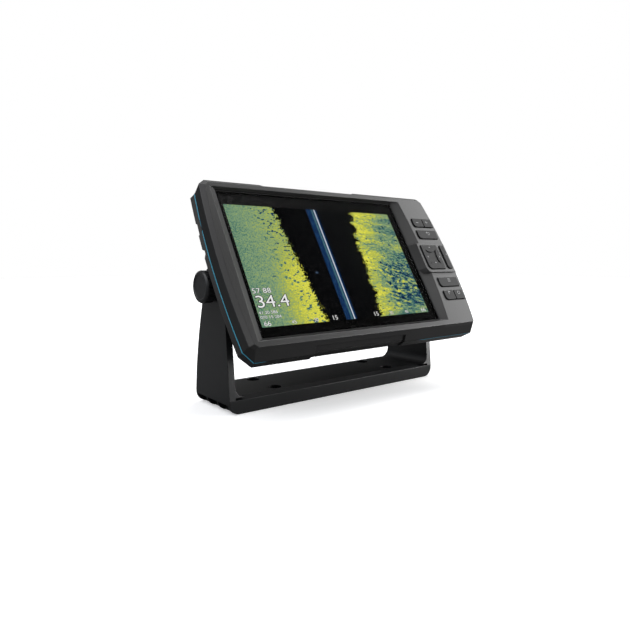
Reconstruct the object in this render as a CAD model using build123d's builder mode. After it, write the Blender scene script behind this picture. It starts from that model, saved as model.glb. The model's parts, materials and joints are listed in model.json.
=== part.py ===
from build123d import *
from collections import namedtuple
from math import copysign, cos, radians, sin
import os

# A chartplotter display: a flat electronics head that tilts in a U-shaped bail bracket.
# All sizes are in millimetres.  Row frame: +X to the viewer's right, the screen faces -Y,
# +Z up, origin on the bracket's bottom face at the middle of its four screw holes.
# The head has a frame of its own: x right, y up the screen, z out of the screen,
# with its origin on the tilt axis.  HEAD is that frame at the rest tilt.

# ---------------------------------------------------------------- bracket
PIVOT_HEIGHT = 108.6
PIVOT_SETBACK = -8.2
ARM_OUTER = 128.8
ARM_THICKNESS = 6.0
ARM_INNER = ARM_OUTER - ARM_THICKNESS
ARM_TOP_RADIUS = 18.0
BASE_THICKNESS = 14.5
BASE_FRONT = -33.8
BASE_REAR = 28.8
BASE_CORNER_RADIUS = 9.5
INNER_CORNER_RADIUS = 9.0
BASE_BEVEL_START = 12.2
BASE_BEVEL_BACK = 7.0
SCREW_SPACING_X = 146.0
SCREW_SPACING_Y = 38.0
SCREW_HOLE_RADIUS = 2.75
SCREW_RECESS_RADIUS = 6.5
SCREW_RECESS_DEPTH = 8.0
FRONT_LEAN = 0.6
ARM_REAR_WAIST = (20.6, 64.0)
ARM_REAR_FOOT = 12.0
FOOT_POCKET_WIDTH = 9.0
FOOT_POCKET_DEPTH = 9.2
FOOT_POCKET_INSET = 3.5
FOOT_WEB = 1.8
UNDERSIDE_POCKET_DEPTH = 6.0
UNDERSIDE_POCKET_MIDDLE = (118.0, 46.0)
UNDERSIDE_POCKET_END = (28.0, 46.0)
UNDERSIDE_POCKET_END_X = 98.0

# ---------------------------------------------------------------- head
TILT = 31.1
RIM_Z = 43.8
SHOULDER_Z = 41.8
GLASS_Z = 40.8
BAND_FRONT_Z = 33.9
BAND_REAR_Z = 32.7
FLANGE_PLATE_Z = 27.8
FLANGE_REAR_Z = 24.8
BUCKET_SLOPE_Z = -2.0
BACK_WALL_Z = -14.2
HEAD_REAR_Z = -17.2
BUCKET_HALF_WIDTH = 121.0
BUCKET_HALF_HEIGHT = 66.0
WALL = 3.0
CASE_CORNER = 8.0
CASE_INNER_CORNER = 5.0
BACK_HALF_WIDTH = 110.0
BACK_HALF_HEIGHT = 57.0
BACK_SLOPE_WALL = 2.0
NOTCH_FLOOR_X = 133.5
LABEL_PANEL = (-92.0, -16.0, -44.0, -16.0)
LABEL_PANEL_DEPTH = 0.6
FIN_COUNT = 14
FIN_PITCH = 12.0
FIN_WIDTH = 2.4
FIN_HEIGHT = 52.0
FIN_MIDDLE_Y = 22.0

# the screen sits left of the head's middle, because the keys are on the right
SCREEN_MIDDLE = -20.4
SCREEN_WIDTH = 198.0
SCREEN_HEIGHT = 116.9
GLASS_LEFT = -122.9
GLASS_RIGHT = 86.8
GLASS_BOTTOM = -67.7
GLASS_TOP = 70.6
GLASS_THICKNESS = 2.0
GLASS_GAP = 1.2
FLANK_FOOT_X = GLASS_RIGHT + GLASS_GAP + 0.1
GASKET_SEAT = 0.4
BASIN_LEFT = -130.0
BASIN_TOP = 73.2
BASIN_BOTTOM = -71.2
BASIN_RIGHT_AT_TOP = 98.6
BASIN_RIGHT_MIDDLE = 103.6
BASIN_RIGHT_AT_BOTTOM = 97.2

# rings round the joint between the two half-shells, measured in from the outline
BAND_WIDTH = 4.5
GASKET_OUTER = 4.8
GASKET_INNER = 7.0
SEAT_WIDTH = 8.0

# opening behind the glass for the screen, and the bays behind the keys
WINDOW_HALF_WIDTH = 103.0
WINDOW_HALF_HEIGHT = 62.5
SEAT_DEPTH = 2.5
BAY_LEFT = 91.5
BAY_BOTTOM = -56.0
BAY_TOP = 58.0
BOARD_BAY_RIGHT = 132.0
PLATFORM_BAY = (136.6, -17.5, 20.0)
MEMBRANE_ROOM = 0.2

# shallow thumb recesses in the top and bottom edges, centred on the screen
RECESS_HALF_LENGTH = 54.0
RECESS_RAMP = 5.0
RECESS_FLOOR = 77.9

# ---------------------------------------------------------------- keypad
KEYPAD_MIDDLE_Y = 1.3
KEY_ROWS = (44.6, 29.5, -29.6, -45.1)
KEY_LEFT = 107.2
KEY_RIGHT = 138.6
KEY_HEIGHT = 11.4
KEY_GAP = 0.5
KEY_SPLIT = 123.4
KEY_PROUD = 1.3
KEY_TRAVEL = 0.9
KEY_SOFT_CORNER = 3.6
KEY_TIGHT_CORNER = 1.0
PLATFORM_Z = 45.8
PLATFORM_RIGHT = 140.4
DPAD_MIDDLE_X = 113.0
DPAD_WIDTH = 26.4
DPAD_HEIGHT = 30.0
SELECT_MIDDLE_X = 134.2
SELECT_WIDTH = 8.0
SELECT_HEIGHT = 29.4
PLATE_BACK_Z = 41.0
LIP_FRONT_Z = 40.8
LIP_BACK_Z = 39.8
LIP_WIDTH = 1.0
PAD_TOP_Z = LIP_BACK_Z - KEY_TRAVEL - 0.2
MEMBRANE_Z = 36.4
MEMBRANE_THICKNESS = 1.2
KEY_BOARD_Z = 34.4
BOARD_THICKNESS = 1.6
KEY_BOARD_SCREWS = [(96.4, -48.0), (96.4, KEYPAD_MIDDLE_Y), (96.4, 50.0)]
DPAD_LIP_Z = 39.4
DPAD_LIP_THICKNESS = 0.5
DPAD_TOP_Z = 47.0
# half-sizes of the star-shaped dish in the pad, at its points and at the middle of its sides
DISH_POINTS = (8.6, 9.2)
DISH_SIDES = (6.4, 5.8)
DISH_DEPTH = 0.9
DPAD_POCKET_Z = 42.2
DPAD_POCKET_RADIUS = 3.0
DPAD_POST_RADIUS = 2.2
DPAD_POST_HEIGHT = 4.2
DPAD_LIP_WIDTH = 0.5
SWITCH_PLACES = [
    (115.2, KEYPAD_MIDDLE_Y + KEY_ROWS[0]), (128.4, KEYPAD_MIDDLE_Y + KEY_ROWS[0]),
    (123.0, KEYPAD_MIDDLE_Y + KEY_ROWS[1]), (123.0, KEYPAD_MIDDLE_Y + KEY_ROWS[2]),
    (115.2, KEYPAD_MIDDLE_Y + KEY_ROWS[3]), (128.4, KEYPAD_MIDDLE_Y + KEY_ROWS[3]),
    (133.0, KEYPAD_MIDDLE_Y),
    (DPAD_MIDDLE_X - 8.5, KEYPAD_MIDDLE_Y), (DPAD_MIDDLE_X + 8.5, KEYPAD_MIDDLE_Y),
    (DPAD_MIDDLE_X, KEYPAD_MIDDLE_Y - 10.0), (DPAD_MIDDLE_X, KEYPAD_MIDDLE_Y + 10.0),
]

# ---------------------------------------------------------------- screws
CASE_SCREW_RADIUS = 1.45
CASE_SCREW_LENGTH = 12.2
CASE_SCREW_HEAD = (2.9, 2.0)
CASE_SCREW_DRIVE = (1.5, 1.3)
CASE_SCREW_CLEARANCE = 1.7
CASE_BOSS_RADIUS = 3.4
CASE_BOSS_BORE = 1.5
SMALL_SCREW_RADIUS = 1.0
SMALL_SCREW_CLEARANCE = 1.3
SMALL_BOSS_RADIUS = 2.2
SMALL_BOSS_BORE = 1.1
POST_RADIUS = 3.5
POST_BORE = 1.3
POST_BORE_DEPTH = 14.0

# ---------------------------------------------------------------- pivots
STUD_RADIUS = 4.0
INSERT_RADIUS = 6.0
INSERT_LENGTH = 16.0
INSERT_BORE_RADIUS = 4.08
ARM_HOLE_RADIUS = 4.1
KNOB_RADIUS = 14.0
KNOB_FACE_RADIUS = 12.4
KNOB_FACE_X = 141.4
KNOB_FLUTES = 12
KNOB_WASHER_THICKNESS = 2.0
STUD_TIP_X = 109.0
STUD_HEAD_X = 136.0
RUB_CLEARANCE = 0.1
CLAMP_PAD_RADIUS = 16.0
CLAMP_PAD_DEPTH = 12.0
INSERT_BOSS_RADIUS = 10.0
INSERT_BOSS_LENGTH = 18.0
FRICTION_WASHER_RADIUS = 14.5
KNOB_WASHER_RADIUS = 13.0
FLUTE_RADIUS = 1.8
FLUTE_INSET = 1.2
FLUTE_LENGTH = 8.0

# ---------------------------------------------------------------- inside and back
MAIN_BOARD_Z = 19.0
MAIN_BOARD_SIZE = (170.0, 104.0)
MAIN_BOARD_MIDDLE = (-12.0, 2.0)
POST_SPACING = (158.0, 92.0)
# each socket: (place along x, barrel radius, bore radius, number of contacts)
SOCKETS = {"power_socket": (56.0, 8.5, 5.6, 4), "sonar_socket": (24.0, 11.0, 8.0, 8)}
SOCKET_Y = -29.0
SOCKET_MOUTH_DEPTH = 6.0
SOCKET_DEPTH = 9.0
SOCKET_FLANGE = 2.0
SOCKET_NUT_MARGIN = 3.2
SOCKET_NUT_HEIGHT = 2.6
SOCKET_SEAL_THICKNESS = 0.6
PIN_RADIUS = 0.5
PIN_CIRCLE_SHARE = 0.55
VENT_PLACE = (-98.0, -6.0)
VENT_RADIUS = 3.0
VENT_MEMBRANE_RADIUS = 5.0
VENT_MEMBRANE_THICKNESS = 0.4
RIBBON_THICKNESS = 0.4
KEY_RIBBON_X = 104.0
KEY_RIBBON_HALF_WIDTH = 8.0
BEEPER_PLACE = (-76.0, -26.0)
BEEPER_RADIUS = 7.0
BEEPER_HEIGHT = 6.0
ANTENNA_BODY = (38.0, 63.0, 26.0, 51.0)
ANTENNA_PATCH = (40.5, 60.5, 28.5, 48.5)
ANTENNA_THICKNESS = 4.5
SHIELD_CAN_HEIGHT = 4.0
LCD_FRAME_FRONT_Z = 35.2
LCD_FRAME_REAR_Z = 30.4
SPREADER_REAR_Z = 28.9
SPREADER_HALF_WIDTH = 99.0
SPREADER_HALF_HEIGHT = 58.0
TRAY_HALF_WIDTH = 107.2
TRAY_HALF_HEIGHT = 66.0
CELL_BORDER = 3.0
LCD_SCREWS = [(SCREEN_MIDDLE + side * 105.4, height) for side in (-1, 1) for height in (-40.0, 40.0)]
CASE_SCREWS = (
    [(side * 131.5, height) for side in (-1, 1) for height in (-66.0, 64.0)]
    + [(x, 69.8) for x in (-92.0, -31.0, 31.0, 92.0)]
    + [(x, -70.4) for x in (-92.0, -31.0, 31.0, 92.0)]
)
LEAN = radians(TILT)
HEAD = Plane(
    origin=(0, PIVOT_SETBACK, PIVOT_HEIGHT), x_dir=(1, 0, 0), z_dir=(0, -cos(LEAN), sin(LEAN))
)
# seen from the right: first coordinate up the screen, second out of the screen
HEAD_SIDE = Plane(origin=HEAD.origin, x_dir=HEAD.y_dir, z_dir=(1, 0, 0))
# seen from the right in the row frame, centred on the tilt axis
PIVOT_SIDE = Plane(origin=HEAD.origin, x_dir=(0, 1, 0), z_dir=(1, 0, 0))

# One cross-section of the head: half-widths are (at the corners, at mid-height), and each
# corner is cut off by (along x, along y), in the order left top, right top, right bottom,
# left bottom.
Section = namedtuple("Section", "z left right top bottom corners")
RIM = Section(RIM_Z, (134.0, 137.9), (136.6, 143.4), 77.6, -75.8,
              ((4.0, 3.4), (4.0, 3.4), (1.0, 1.0), (3.2, 2.6)))
SHOULDER = Section(SHOULDER_Z, (138.2, 142.0), (137.2, 143.9), 80.2, -77.4,
                   ((5.6, 4.4), (5.0, 4.0), (1.2, 1.4), (4.6, 3.2)))
PARTING = Section(BAND_FRONT_Z, (140.1, 144.0), (140.1, 144.0), 80.6, -84.8,
                  ((7.2, 9.6), (7.2, 9.6), (4.0, 6.0), (7.2, 9.6)))
FLANGE = Section(FLANGE_REAR_Z, (140.0, 143.2), (140.0, 143.2), 80.2, -85.2,
                 ((8.6, 7.2), (8.6, 7.2), (9.8, 8.0), (8.8, 9.8)))

os.makedirs("parts", exist_ok=True)


def save(builder, name):
    """Label a finished piece and write it to its own file."""
    builder.part.label = name
    export_step(builder.part, f"parts/{name}.step")


def outline(plane, section, inset=0.0):
    """Face of one cross-section, drawn on a plane and shrunk by inset on every side."""
    left_top, right_top, right_bottom, left_bottom = section.corners
    left, left_mid = (half - inset for half in section.left)
    right, right_mid = (half - inset for half in section.right)
    top = section.top - inset
    bottom = section.bottom + inset
    middle = (top + bottom) / 2
    with BuildSketch(plane) as face:
        with BuildLine():
            left_side = ThreePointArc(
                (-left, bottom + left_bottom[1]), (-left_mid, middle), (-left, top - left_top[1])
            )
            upper_left = Line(left_side @ 1, (left_top[0] - left, top))
            upper = Line(upper_left @ 1, (right - right_top[0], top))
            upper_right = Line(upper @ 1, (right, top - right_top[1]))
            right_side = ThreePointArc(
                upper_right @ 1, (right_mid, middle), (right, bottom + right_bottom[1])
            )
            lower_right = Line(right_side @ 1, (right - right_bottom[0], bottom))
            lower = Line(lower_right @ 1, (left_bottom[0] - left, bottom))
            Line(lower @ 1, left_side @ 0)
        make_face()
    return face.sketch


def box_face(plane, left, right, bottom, top, corner=0.0):
    """Rectangle between four edges, with rounded corners where corner is given."""
    with BuildSketch(plane) as face:
        with Locations(((left + right) / 2, (bottom + top) / 2)):
            if corner:
                RectangleRounded(right - left, top - bottom, corner)
            else:
                Rectangle(right - left, top - bottom)
    return face.sketch


def cut_recesses():
    """Cut the thumb recesses in the top edge and in the sloping bottom edge."""
    start = SCREEN_MIDDLE - RECESS_HALF_LENGTH
    end = SCREEN_MIDDLE + RECESS_HALF_LENGTH
    above = PARTING.top + 2.0
    with BuildSketch(HEAD.offset(FLANGE_REAR_Z - 2)) as upper:
        with BuildLine():
            Polyline(
                (start - RECESS_RAMP, above), (start, RECESS_FLOOR), (end, RECESS_FLOOR),
                (end + RECESS_RAMP, above), close=True
            )
        make_face()
    extrude(upper.sketch, amount=RIM_Z - FLANGE_REAR_Z + 4, mode=Mode.SUBTRACT)
    with BuildSketch(HEAD_SIDE.offset(start)) as lower:
        with BuildLine():
            Polyline(
                (-79.4, 39.5), (-78.3, 38.6), (-83.3, 33.0), (-83.9, 22.0),
                (-92.0, 22.0), (-92.0, 39.5), close=True
            )
        make_face()
    extrude(lower.sketch, amount=end - start, mode=Mode.SUBTRACT)


def holes(plane, places, radius, depth):
    """Blind round holes into the part, going down from a plane."""
    with BuildSketch(plane) as face:
        with Locations(*places):
            Circle(radius)
    extrude(face.sketch, amount=-depth, mode=Mode.SUBTRACT)


def pillars(plane, places, radius, height):
    """Round pillars standing up from a plane."""
    with BuildSketch(plane) as face:
        with Locations(*places):
            Circle(radius)
    extrude(face.sketch, amount=height)


def key_face(plane, left, right, bottom, top, soft, tight):
    """Key outline: the lower left corner is soft and the other three are tight."""
    with BuildSketch(plane) as face:
        with Locations(((left + right) / 2, (bottom + top) / 2)):
            Rectangle(right - left, top - bottom)
        by_diagonal = face.vertices().sort_by(Axis((0, 0, 0), (1, 1, 0)))
        fillet(by_diagonal[:1], radius=soft)
        by_diagonal = face.vertices().sort_by(Axis((0, 0, 0), (1, 1, 0)))
        fillet(by_diagonal[-3:], radius=tight)
    return face.sketch


def dish_place(step):
    """Corner (even step) or middle of a side (odd step) of the dish, an eighth of a turn apart."""
    turn = radians(45 * step + 45)
    if step % 2 == 0:
        return (
            DPAD_MIDDLE_X + DISH_POINTS[0] * copysign(1, cos(turn)),
            KEYPAD_MIDDLE_Y + DISH_POINTS[1] * copysign(1, sin(turn))
        )
    return (DPAD_MIDDLE_X + DISH_SIDES[0] * cos(turn), KEYPAD_MIDDLE_Y + DISH_SIDES[1] * sin(turn))


def key_cap(name, left, right, bottom, top, soft, tight, top_z, lip_left):
    """One hard key: a cap with a softened front edge on a retaining lip."""
    with BuildPart() as key:
        cap = key_face(HEAD.offset(LIP_BACK_Z), left, right, bottom, top, soft, tight)
        extrude(cap, amount=top_z - LIP_BACK_Z)
        front = key.faces().sort_by(Axis(HEAD.origin, HEAD.z_dir))[-1]
        fillet(front.edges(), radius=0.4)
        lip = box_face(
            HEAD.offset(LIP_BACK_Z), left - lip_left, right, bottom - LIP_WIDTH, top + LIP_WIDTH
        )
        extrude(lip, amount=LIP_FRONT_Z - LIP_BACK_Z)
    save(key, name)


# ---------------------------------------------------------------- bail bracket
with BuildPart() as bail:
    # front view of the U
    with BuildSketch(Plane.XZ.offset(-BASE_REAR)) as front_view:
        arm_top = PIVOT_HEIGHT + ARM_TOP_RADIUS
        with Locations((0, arm_top / 2)):
            Rectangle(2 * ARM_OUTER, arm_top)
        fillet(front_view.vertices().group_by(Axis.Y)[0], radius=BASE_CORNER_RADIUS)
        with BuildSketch(mode=Mode.SUBTRACT) as gap:
            with Locations((0, BASE_THICKNESS + arm_top / 2)):
                Rectangle(2 * ARM_INNER, arm_top)
            fillet(gap.vertices().group_by(Axis.Y)[0], radius=INNER_CORNER_RADIUS)
    extrude(amount=BASE_REAR - BASE_FRONT + 2)
    # side view: the arms narrow towards a round end at the pivot
    with BuildSketch(Plane.YZ.offset(-ARM_OUTER - 1)):
        with BuildLine():
            front_foot = (BASE_FRONT, 0)
            front_knee = (BASE_FRONT - FRONT_LEAN, BASE_BEVEL_START)
            front_top = (PIVOT_SETBACK - ARM_TOP_RADIUS, PIVOT_HEIGHT + 2)
            rear_top = (PIVOT_SETBACK + 17.2, PIVOT_HEIGHT - 5.3)
            crown = (PIVOT_SETBACK, PIVOT_HEIGHT + ARM_TOP_RADIUS)
            Polyline(front_foot, front_knee, front_top)
            ThreePointArc(front_top, crown, rear_top)
            ThreePointArc(rear_top, ARM_REAR_WAIST, (BASE_REAR, ARM_REAR_FOOT))
            Polyline((BASE_REAR, ARM_REAR_FOOT), (BASE_REAR - FRONT_LEAN, 0), front_foot)
        make_face()
    extrude(amount=2 * ARM_OUTER + 2, mode=Mode.INTERSECT)
    # bevel along the front and back of the base between the arms
    with BuildSketch(Plane.YZ.offset(-ARM_INNER)):
        with BuildLine():
            Polyline(
                (BASE_FRONT - 2, BASE_BEVEL_START), (BASE_FRONT - FRONT_LEAN, BASE_BEVEL_START),
                (BASE_FRONT + BASE_BEVEL_BACK - FRONT_LEAN, BASE_THICKNESS),
                (BASE_FRONT + BASE_BEVEL_BACK - FRONT_LEAN, BASE_THICKNESS + 0.01),
                (BASE_FRONT - 2, BASE_THICKNESS + 0.01), close=True
            )
        make_face()
    extrude(amount=2 * ARM_INNER, mode=Mode.SUBTRACT)
    # screw holes with deep head recesses
    with BuildSketch(Plane.XY.offset(BASE_THICKNESS)):
        with GridLocations(SCREW_SPACING_X, SCREW_SPACING_Y, 2, 2):
            Circle(SCREW_RECESS_RADIUS)
    extrude(amount=-SCREW_RECESS_DEPTH, mode=Mode.SUBTRACT)
    with BuildSketch(Plane.XY):
        with GridLocations(SCREW_SPACING_X, SCREW_SPACING_Y, 2, 2):
            Circle(SCREW_HOLE_RADIUS)
    extrude(amount=BASE_THICKNESS, mode=Mode.SUBTRACT)
    # three pockets with thin webs under each outer corner
    pocket_pitch = (BASE_REAR - BASE_FRONT - 4) / 3
    pocket_middle = (BASE_REAR + BASE_FRONT) / 2
    for side in (-1, 1):
        with BuildSketch(Plane.XY.offset(-1)):
            with Locations((side * (ARM_OUTER - FOOT_POCKET_INSET), pocket_middle)):
                with GridLocations(1, pocket_pitch, 1, 3):
                    Rectangle(FOOT_POCKET_WIDTH, pocket_pitch - FOOT_WEB)
        extrude(amount=FOOT_POCKET_DEPTH, mode=Mode.SUBTRACT)
    # pivot holes through both arms
    with BuildSketch(PIVOT_SIDE.offset(-ARM_OUTER - 1)):
        Circle(ARM_HOLE_RADIUS)
    extrude(amount=2 * ARM_OUTER + 2, mode=Mode.SUBTRACT)
    # lightening pockets under the base
    with BuildSketch(Plane.XY):
        with Locations((0, pocket_middle)):
            Rectangle(*UNDERSIDE_POCKET_MIDDLE)
        with Locations(
            (-UNDERSIDE_POCKET_END_X, pocket_middle), (UNDERSIDE_POCKET_END_X, pocket_middle)
        ):
            Rectangle(*UNDERSIDE_POCKET_END)
    extrude(amount=UNDERSIDE_POCKET_DEPTH, mode=Mode.SUBTRACT)
save(bail, "bail_bracket")

# ---------------------------------------------------------------- front bezel
with BuildPart() as bezel:
    loft([outline(HEAD.offset(cut.z), cut) for cut in (PARTING, SHOULDER, RIM)], ruled=True)
    # sloping basin down to the cover glass
    with BuildSketch(HEAD.offset(RIM_Z)) as basin_rim:
        with BuildLine():
            Line((BASIN_LEFT, BASIN_BOTTOM), (BASIN_RIGHT_AT_BOTTOM, BASIN_BOTTOM))
            ThreePointArc(
                (BASIN_RIGHT_AT_BOTTOM, BASIN_BOTTOM), (BASIN_RIGHT_MIDDLE, 0),
                (BASIN_RIGHT_AT_TOP, BASIN_TOP)
            )
            Polyline(
                (BASIN_RIGHT_AT_TOP, BASIN_TOP), (BASIN_LEFT, BASIN_TOP), (BASIN_LEFT, BASIN_BOTTOM)
            )
        make_face()
    glass_seat = box_face(
        HEAD.offset(GLASS_Z), GLASS_LEFT - GLASS_GAP, GLASS_RIGHT + GLASS_GAP,
        GLASS_BOTTOM - GLASS_GAP, GLASS_TOP + GLASS_GAP
    )
    loft([glass_seat, basin_rim.sketch], ruled=True, mode=Mode.SUBTRACT)
    extrude(glass_seat, amount=-GLASS_THICKNESS - GASKET_SEAT, mode=Mode.SUBTRACT)
    # raised platform round the rocker pad, with a flank that slopes down to the glass
    with BuildSketch(HEAD.offset(GLASS_Z)) as platform_foot:
        with BuildLine():
            Polyline(
                (FLANK_FOOT_X, 18.6), (PLATFORM_RIGHT, 19.4), (PLATFORM_RIGHT, -17.6), (95.8, -17.6),
                (91.3, -16.8), (FLANK_FOOT_X, -11.5), close=True
            )
        make_face()
    with BuildSketch(HEAD.offset(PLATFORM_Z)) as platform_top:
        with BuildLine():
            Polyline(
                (96.8, 18.6), (PLATFORM_RIGHT, 18.6), (PLATFORM_RIGHT, -16.7), (101.4, -16.7),
                (98.0, -15.2), (96.0, -11.0), close=True
            )
        make_face()
    loft([platform_foot.sketch, platform_top.sketch], ruled=True)
    # rear cavity, the window for the screen and the deeper bay behind the keys
    extrude(outline(HEAD.offset(BAND_FRONT_Z), PARTING, SEAT_WIDTH), amount=SEAT_DEPTH, mode=Mode.SUBTRACT)
    window = box_face(
        HEAD.offset(BAND_FRONT_Z), SCREEN_MIDDLE - WINDOW_HALF_WIDTH,
        SCREEN_MIDDLE + WINDOW_HALF_WIDTH, -WINDOW_HALF_HEIGHT, WINDOW_HALF_HEIGHT
    )
    extrude(window, amount=GLASS_Z - BAND_FRONT_Z, mode=Mode.SUBTRACT)
    for bay_right, bay_low, bay_high in ((BOARD_BAY_RIGHT, BAY_BOTTOM, BAY_TOP), PLATFORM_BAY):
        board_bay = box_face(HEAD.offset(BAND_FRONT_Z), BAY_LEFT, bay_right, bay_low, bay_high)
        extrude(board_bay, amount=PLATE_BACK_Z - BAND_FRONT_Z, mode=Mode.SUBTRACT)
    key_bay = box_face(
        HEAD.offset(MEMBRANE_Z - MEMBRANE_ROOM), BAY_LEFT, KEY_RIGHT, BAY_BOTTOM, BAY_TOP
    )
    extrude(key_bay, amount=PLATE_BACK_Z - MEMBRANE_Z + MEMBRANE_ROOM, mode=Mode.SUBTRACT)
    # openings for the keys
    for row in KEY_ROWS:
        row_opening = key_face(
            HEAD.offset(PLATE_BACK_Z), KEY_LEFT, KEY_RIGHT, KEYPAD_MIDDLE_Y + row - KEY_HEIGHT / 2,
            KEYPAD_MIDDLE_Y + row + KEY_HEIGHT / 2, KEY_SOFT_CORNER, KEY_TIGHT_CORNER
        )
        extrude(row_opening, amount=PLATFORM_Z - PLATE_BACK_Z, mode=Mode.SUBTRACT)
    for middle_x, width, height, soft in (
        (DPAD_MIDDLE_X, DPAD_WIDTH, DPAD_HEIGHT, 5.5),
        (SELECT_MIDDLE_X, SELECT_WIDTH, SELECT_HEIGHT, 3.4),
    ):
        pad_opening = key_face(
            HEAD.offset(PLATE_BACK_Z), middle_x - width / 2, middle_x + width / 2,
            KEYPAD_MIDDLE_Y - height / 2, KEYPAD_MIDDLE_Y + height / 2, soft, 1.6
        )
        extrude(pad_opening, amount=PLATFORM_Z - PLATE_BACK_Z, mode=Mode.SUBTRACT)
    # screw bosses
    pillars(HEAD.offset(BAND_FRONT_Z), CASE_SCREWS, CASE_BOSS_RADIUS, 3.0)
    holes(HEAD.offset(BAND_FRONT_Z + 3.5), CASE_SCREWS, CASE_BOSS_BORE, 4.0)
    pillars(HEAD.offset(LCD_FRAME_FRONT_Z), LCD_SCREWS, SMALL_BOSS_RADIUS, 1.6)
    holes(HEAD.offset(LCD_FRAME_FRONT_Z + 2.2), LCD_SCREWS, SMALL_BOSS_BORE, 2.6)
    pillars(HEAD.offset(KEY_BOARD_Z + BOARD_THICKNESS), KEY_BOARD_SCREWS, SMALL_BOSS_RADIUS, 5.2)
    holes(HEAD.offset(KEY_BOARD_Z + BOARD_THICKNESS + 5.0), KEY_BOARD_SCREWS, SMALL_BOSS_BORE, 5.4)
    cut_recesses()
save(bezel, "front_bezel")

# ---------------------------------------------------------------- seams of the case
with BuildPart() as band:
    extrude(outline(HEAD.offset(BAND_REAR_Z), PARTING), amount=BAND_FRONT_Z - BAND_REAR_Z)
    inside = outline(HEAD.offset(BAND_REAR_Z), PARTING, BAND_WIDTH)
    extrude(inside, amount=BAND_FRONT_Z - BAND_REAR_Z, mode=Mode.SUBTRACT)
    # the colour stops behind a tab on each side
    for side in (-1, 1):
        tab = box_face(HEAD.offset(BAND_REAR_Z), *sorted((side * 142.2, side * 146.0)), 34.6, 45.0)
        extrude(tab, amount=BAND_FRONT_Z - BAND_REAR_Z, mode=Mode.SUBTRACT)
    cut_recesses()
save(band, "accent_band")

with BuildPart() as gasket:
    extrude(
        outline(HEAD.offset(BAND_REAR_Z), PARTING, GASKET_OUTER), amount=BAND_FRONT_Z - BAND_REAR_Z
    )
    inside = outline(HEAD.offset(BAND_REAR_Z), PARTING, GASKET_INNER)
    extrude(inside, amount=BAND_FRONT_Z - BAND_REAR_Z, mode=Mode.SUBTRACT)
    holes(HEAD.offset(BAND_FRONT_Z), CASE_SCREWS, CASE_SCREW_CLEARANCE, BAND_FRONT_Z - BAND_REAR_Z)
save(gasket, "case_gasket")

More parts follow.
